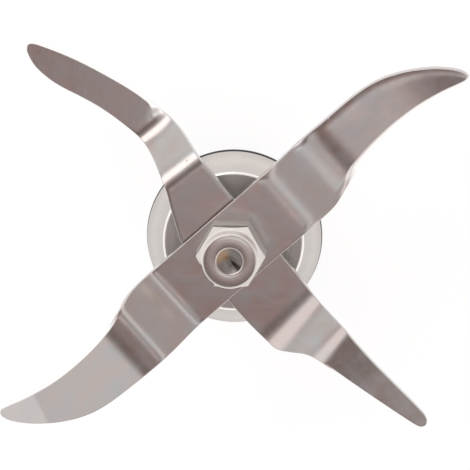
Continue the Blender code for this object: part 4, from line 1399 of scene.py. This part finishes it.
# A lamp's direction from the blades, its width, its height up the sky, its power and its colour
Lamp = namedtuple("Lamp", "name toward width height watts colour")
LAMPS = (
    Lamp("rear_softbox", (0.00, 0.73, 0.68), 1.10, 0.44, 2.2, (1.0, 0.98, 0.96)),
    Lamp("front_softbox", (-0.05, -0.77, 0.64), 1.10, 0.54, 1.2, (1.0, 0.97, 0.95)),
    Lamp("right_strip", (0.225, -0.10, 0.965), 0.70, 0.22, 0.34, (0.92, 0.99, 1.0)),
    Lamp("left_softbox", (-0.66, -0.10, 0.74), 0.70, 0.30, 0.23, (0.90, 1.0, 1.0)),
)


def add_floor(studio):
    bm = bmesh.new()
    bmesh.ops.create_circle(bm, cap_ends=True, segments=FLOOR_STEPS, radius=FLOOR_RADIUS)
    floor = new_object("pale_floor", mesh_from(bm, "pale_floor"))
    floor.data.materials.append(floor_finish(studio))


def floor_finish(studio):
    """Pale floor that looks white from the camera and in the metal, and still takes a soft shadow."""
    material = bpy.data.materials.new("floor_white")
    material.use_nodes = True
    tree = material.node_tree
    tree.nodes.clear()
    light_path = tree.nodes.new("ShaderNodeLightPath").outputs
    seen = maths(tree, "MAXIMUM", light_path["Is Camera Ray"], light_path["Is Glossy Ray"])
    seen = maths(tree, "MAXIMUM", seen, light_path["Is Transmission Ray"])
    plain = add_node(tree, "ShaderNodeBsdfDiffuse", {"Color": (*studio.floor_colour, 1.0)})
    shadowed = add_node(tree, "ShaderNodeBsdfDiffuse", {"Color": SHADOWED_FLOOR})
    glow = add_node(tree, "ShaderNodeEmission", {"Color": WHITE, "Strength": FLOOR_GLOW})
    white = add_node(tree, "ShaderNodeAddShader", {0: shadowed.outputs[0], 1: glow.outputs[0]})
    both = add_node(tree, "ShaderNodeMixShader", {0: seen, 1: plain.outputs[0], 2: white.outputs[0]})
    out = tree.nodes.new("ShaderNodeOutputMaterial")
    tree.links.new(both.outputs[0], out.inputs["Surface"])
    return material


def add_sky(studio):
    """Soft light from all round: bright at the horizon, dim between the lamps, warm overhead."""
    world = bpy.data.worlds.new("studio")
    world.use_nodes = True
    tree = world.node_tree
    direction = tree.nodes.new("ShaderNodeTexCoord").outputs["Generated"]
    nearness = add_node(
        tree, "ShaderNodeVectorMath", {0: direction, 1: SKY_CENTRE}, operation="DOT_PRODUCT")
    away = maths(tree, "ARCCOSINE", nearness.outputs["Value"])
    ramp = tree.nodes.new("ShaderNodeValToRGB")
    tree.links.new(maths(tree, "DIVIDE", away, pi / 2), ramp.inputs["Fac"])
    # The sky's colours, by degrees from its centre
    stops = [(degrees / 90, colour) for degrees, colour in (
        (4.8, studio.ceiling_colour), (7.0, studio.rim_colour), (9.2, studio.gap_colour),
        (19.0, studio.gap_colour), (27.0, (0.56, 0.51, 0.505)), (60.0, (0.56, 0.50, 0.495)),
        (77.0, (0.70, 0.69, 0.68)), (82.0, studio.wall_colour))]
    band = ramp.color_ramp
    while len(band.elements) < len(stops):
        band.elements.new(0.5)
    for element, (position, _) in zip(band.elements, stops):
        element.position = position
    for element, (_, colour) in zip(band.elements, stops):
        element.color = (*colour, 1.0)
    tree.links.new(ramp.outputs["Color"], tree.nodes["Background"].inputs["Color"])
    bpy.context.scene.world = world


def add_lamp(lamp, distance):
    data = bpy.data.lights.new(lamp.name, "AREA")
    data.shape = "RECTANGLE"
    data.size = lamp.width
    data.size_y = lamp.height
    data.energy = lamp.watts
    data.color = lamp.colour
    obj = new_object(lamp.name, data)
    toward = Vector(lamp.toward).normalized()
    obj.location = AIM + distance * toward
    obj.rotation_euler = (-toward).to_track_quat("-Z", "Y").to_euler()
    obj.visible_camera = False


def add_camera(studio):
    data = bpy.data.cameras.new("camera")
    data.sensor_width = SENSOR_WIDTH
    data.lens = studio.focal_length
    data.clip_end = FARTHEST_SEEN
    camera = new_object("camera", data)
    back = CAMERA_RIGHT.cross(CAMERA_UP).normalized()
    upward = back.cross(CAMERA_RIGHT).normalized()
    turn = Matrix((CAMERA_RIGHT.normalized(), upward, back)).transposed().to_4x4()
    camera.matrix_world = Matrix.Translation(CAMERA_EYE) @ turn
    bpy.context.scene.camera = camera


class AddStage(Operator):
    """Add the pale floor, the soft light and the camera"""

    bl_idname = "blade_unit.add_stage"
    bl_label = "Stage"

    def execute(self, context):
        studio = context.scene.blade_unit_studio
        add_floor(studio)
        add_sky(studio)
        for lamp in LAMPS:
            add_lamp(lamp, studio.lamp_distance)
        add_camera(studio)
        context.scene.view_settings.view_transform = "Standard"
        return {"FINISHED"}


SETTINGS = {
    "blade_unit_blades": BladeSizes, "blade_unit_nut": NutSizes, "blade_unit_housing": HousingSizes,
    "blade_unit_bearings": BearingSizes, "blade_unit_drive": DriveSizes, "blade_unit_finishes": Finishes,
    "blade_unit_studio": Studio}
OPERATORS = (AddBlades, AddNut, AddDrive, AddBearings, AddHousing, AddStage)


class BladeUnitPanel(Panel):
    """Lists what the add-on builds, with the sizes and finishes it builds from"""

    bl_idname = "VIEW3D_PT_blade_unit"
    bl_label = "Blade Unit"
    bl_space_type = "VIEW_3D"
    bl_region_type = "UI"
    bl_category = "Blade Unit"

    def draw(self, context):
        for operator in OPERATORS:
            self.layout.operator(operator.bl_idname)
        for key in SETTINGS:
            group = getattr(context.scene, key)
            box = self.layout.box()
            box.label(text=group.bl_rna.description)
            for name in group.bl_rna.properties.keys():
                if name not in ("rna_type", "name"):
                    box.prop(group, name)


def register():
    for group in SETTINGS.values():
        bpy.utils.register_class(group)
    for operator in OPERATORS:
        bpy.utils.register_class(operator)
    bpy.utils.register_class(BladeUnitPanel)
    for key, group in SETTINGS.items():
        setattr(bpy.types.Scene, key, PointerProperty(type=group))


def unregister():
    for key in SETTINGS:
        delattr(bpy.types.Scene, key)
    bpy.utils.unregister_class(BladeUnitPanel)
    for operator in reversed(OPERATORS):
        bpy.utils.unregister_class(operator)
    for group in SETTINGS.values():
        bpy.utils.unregister_class(group)


def main():
    register()
    bpy.ops.blade_unit.add_blades()
    bpy.ops.blade_unit.add_nut()
    bpy.ops.blade_unit.add_drive()
    bpy.ops.blade_unit.add_bearings()
    bpy.ops.blade_unit.add_housing()
    bpy.ops.blade_unit.add_stage()


if __name__ == "__main__":
    main()
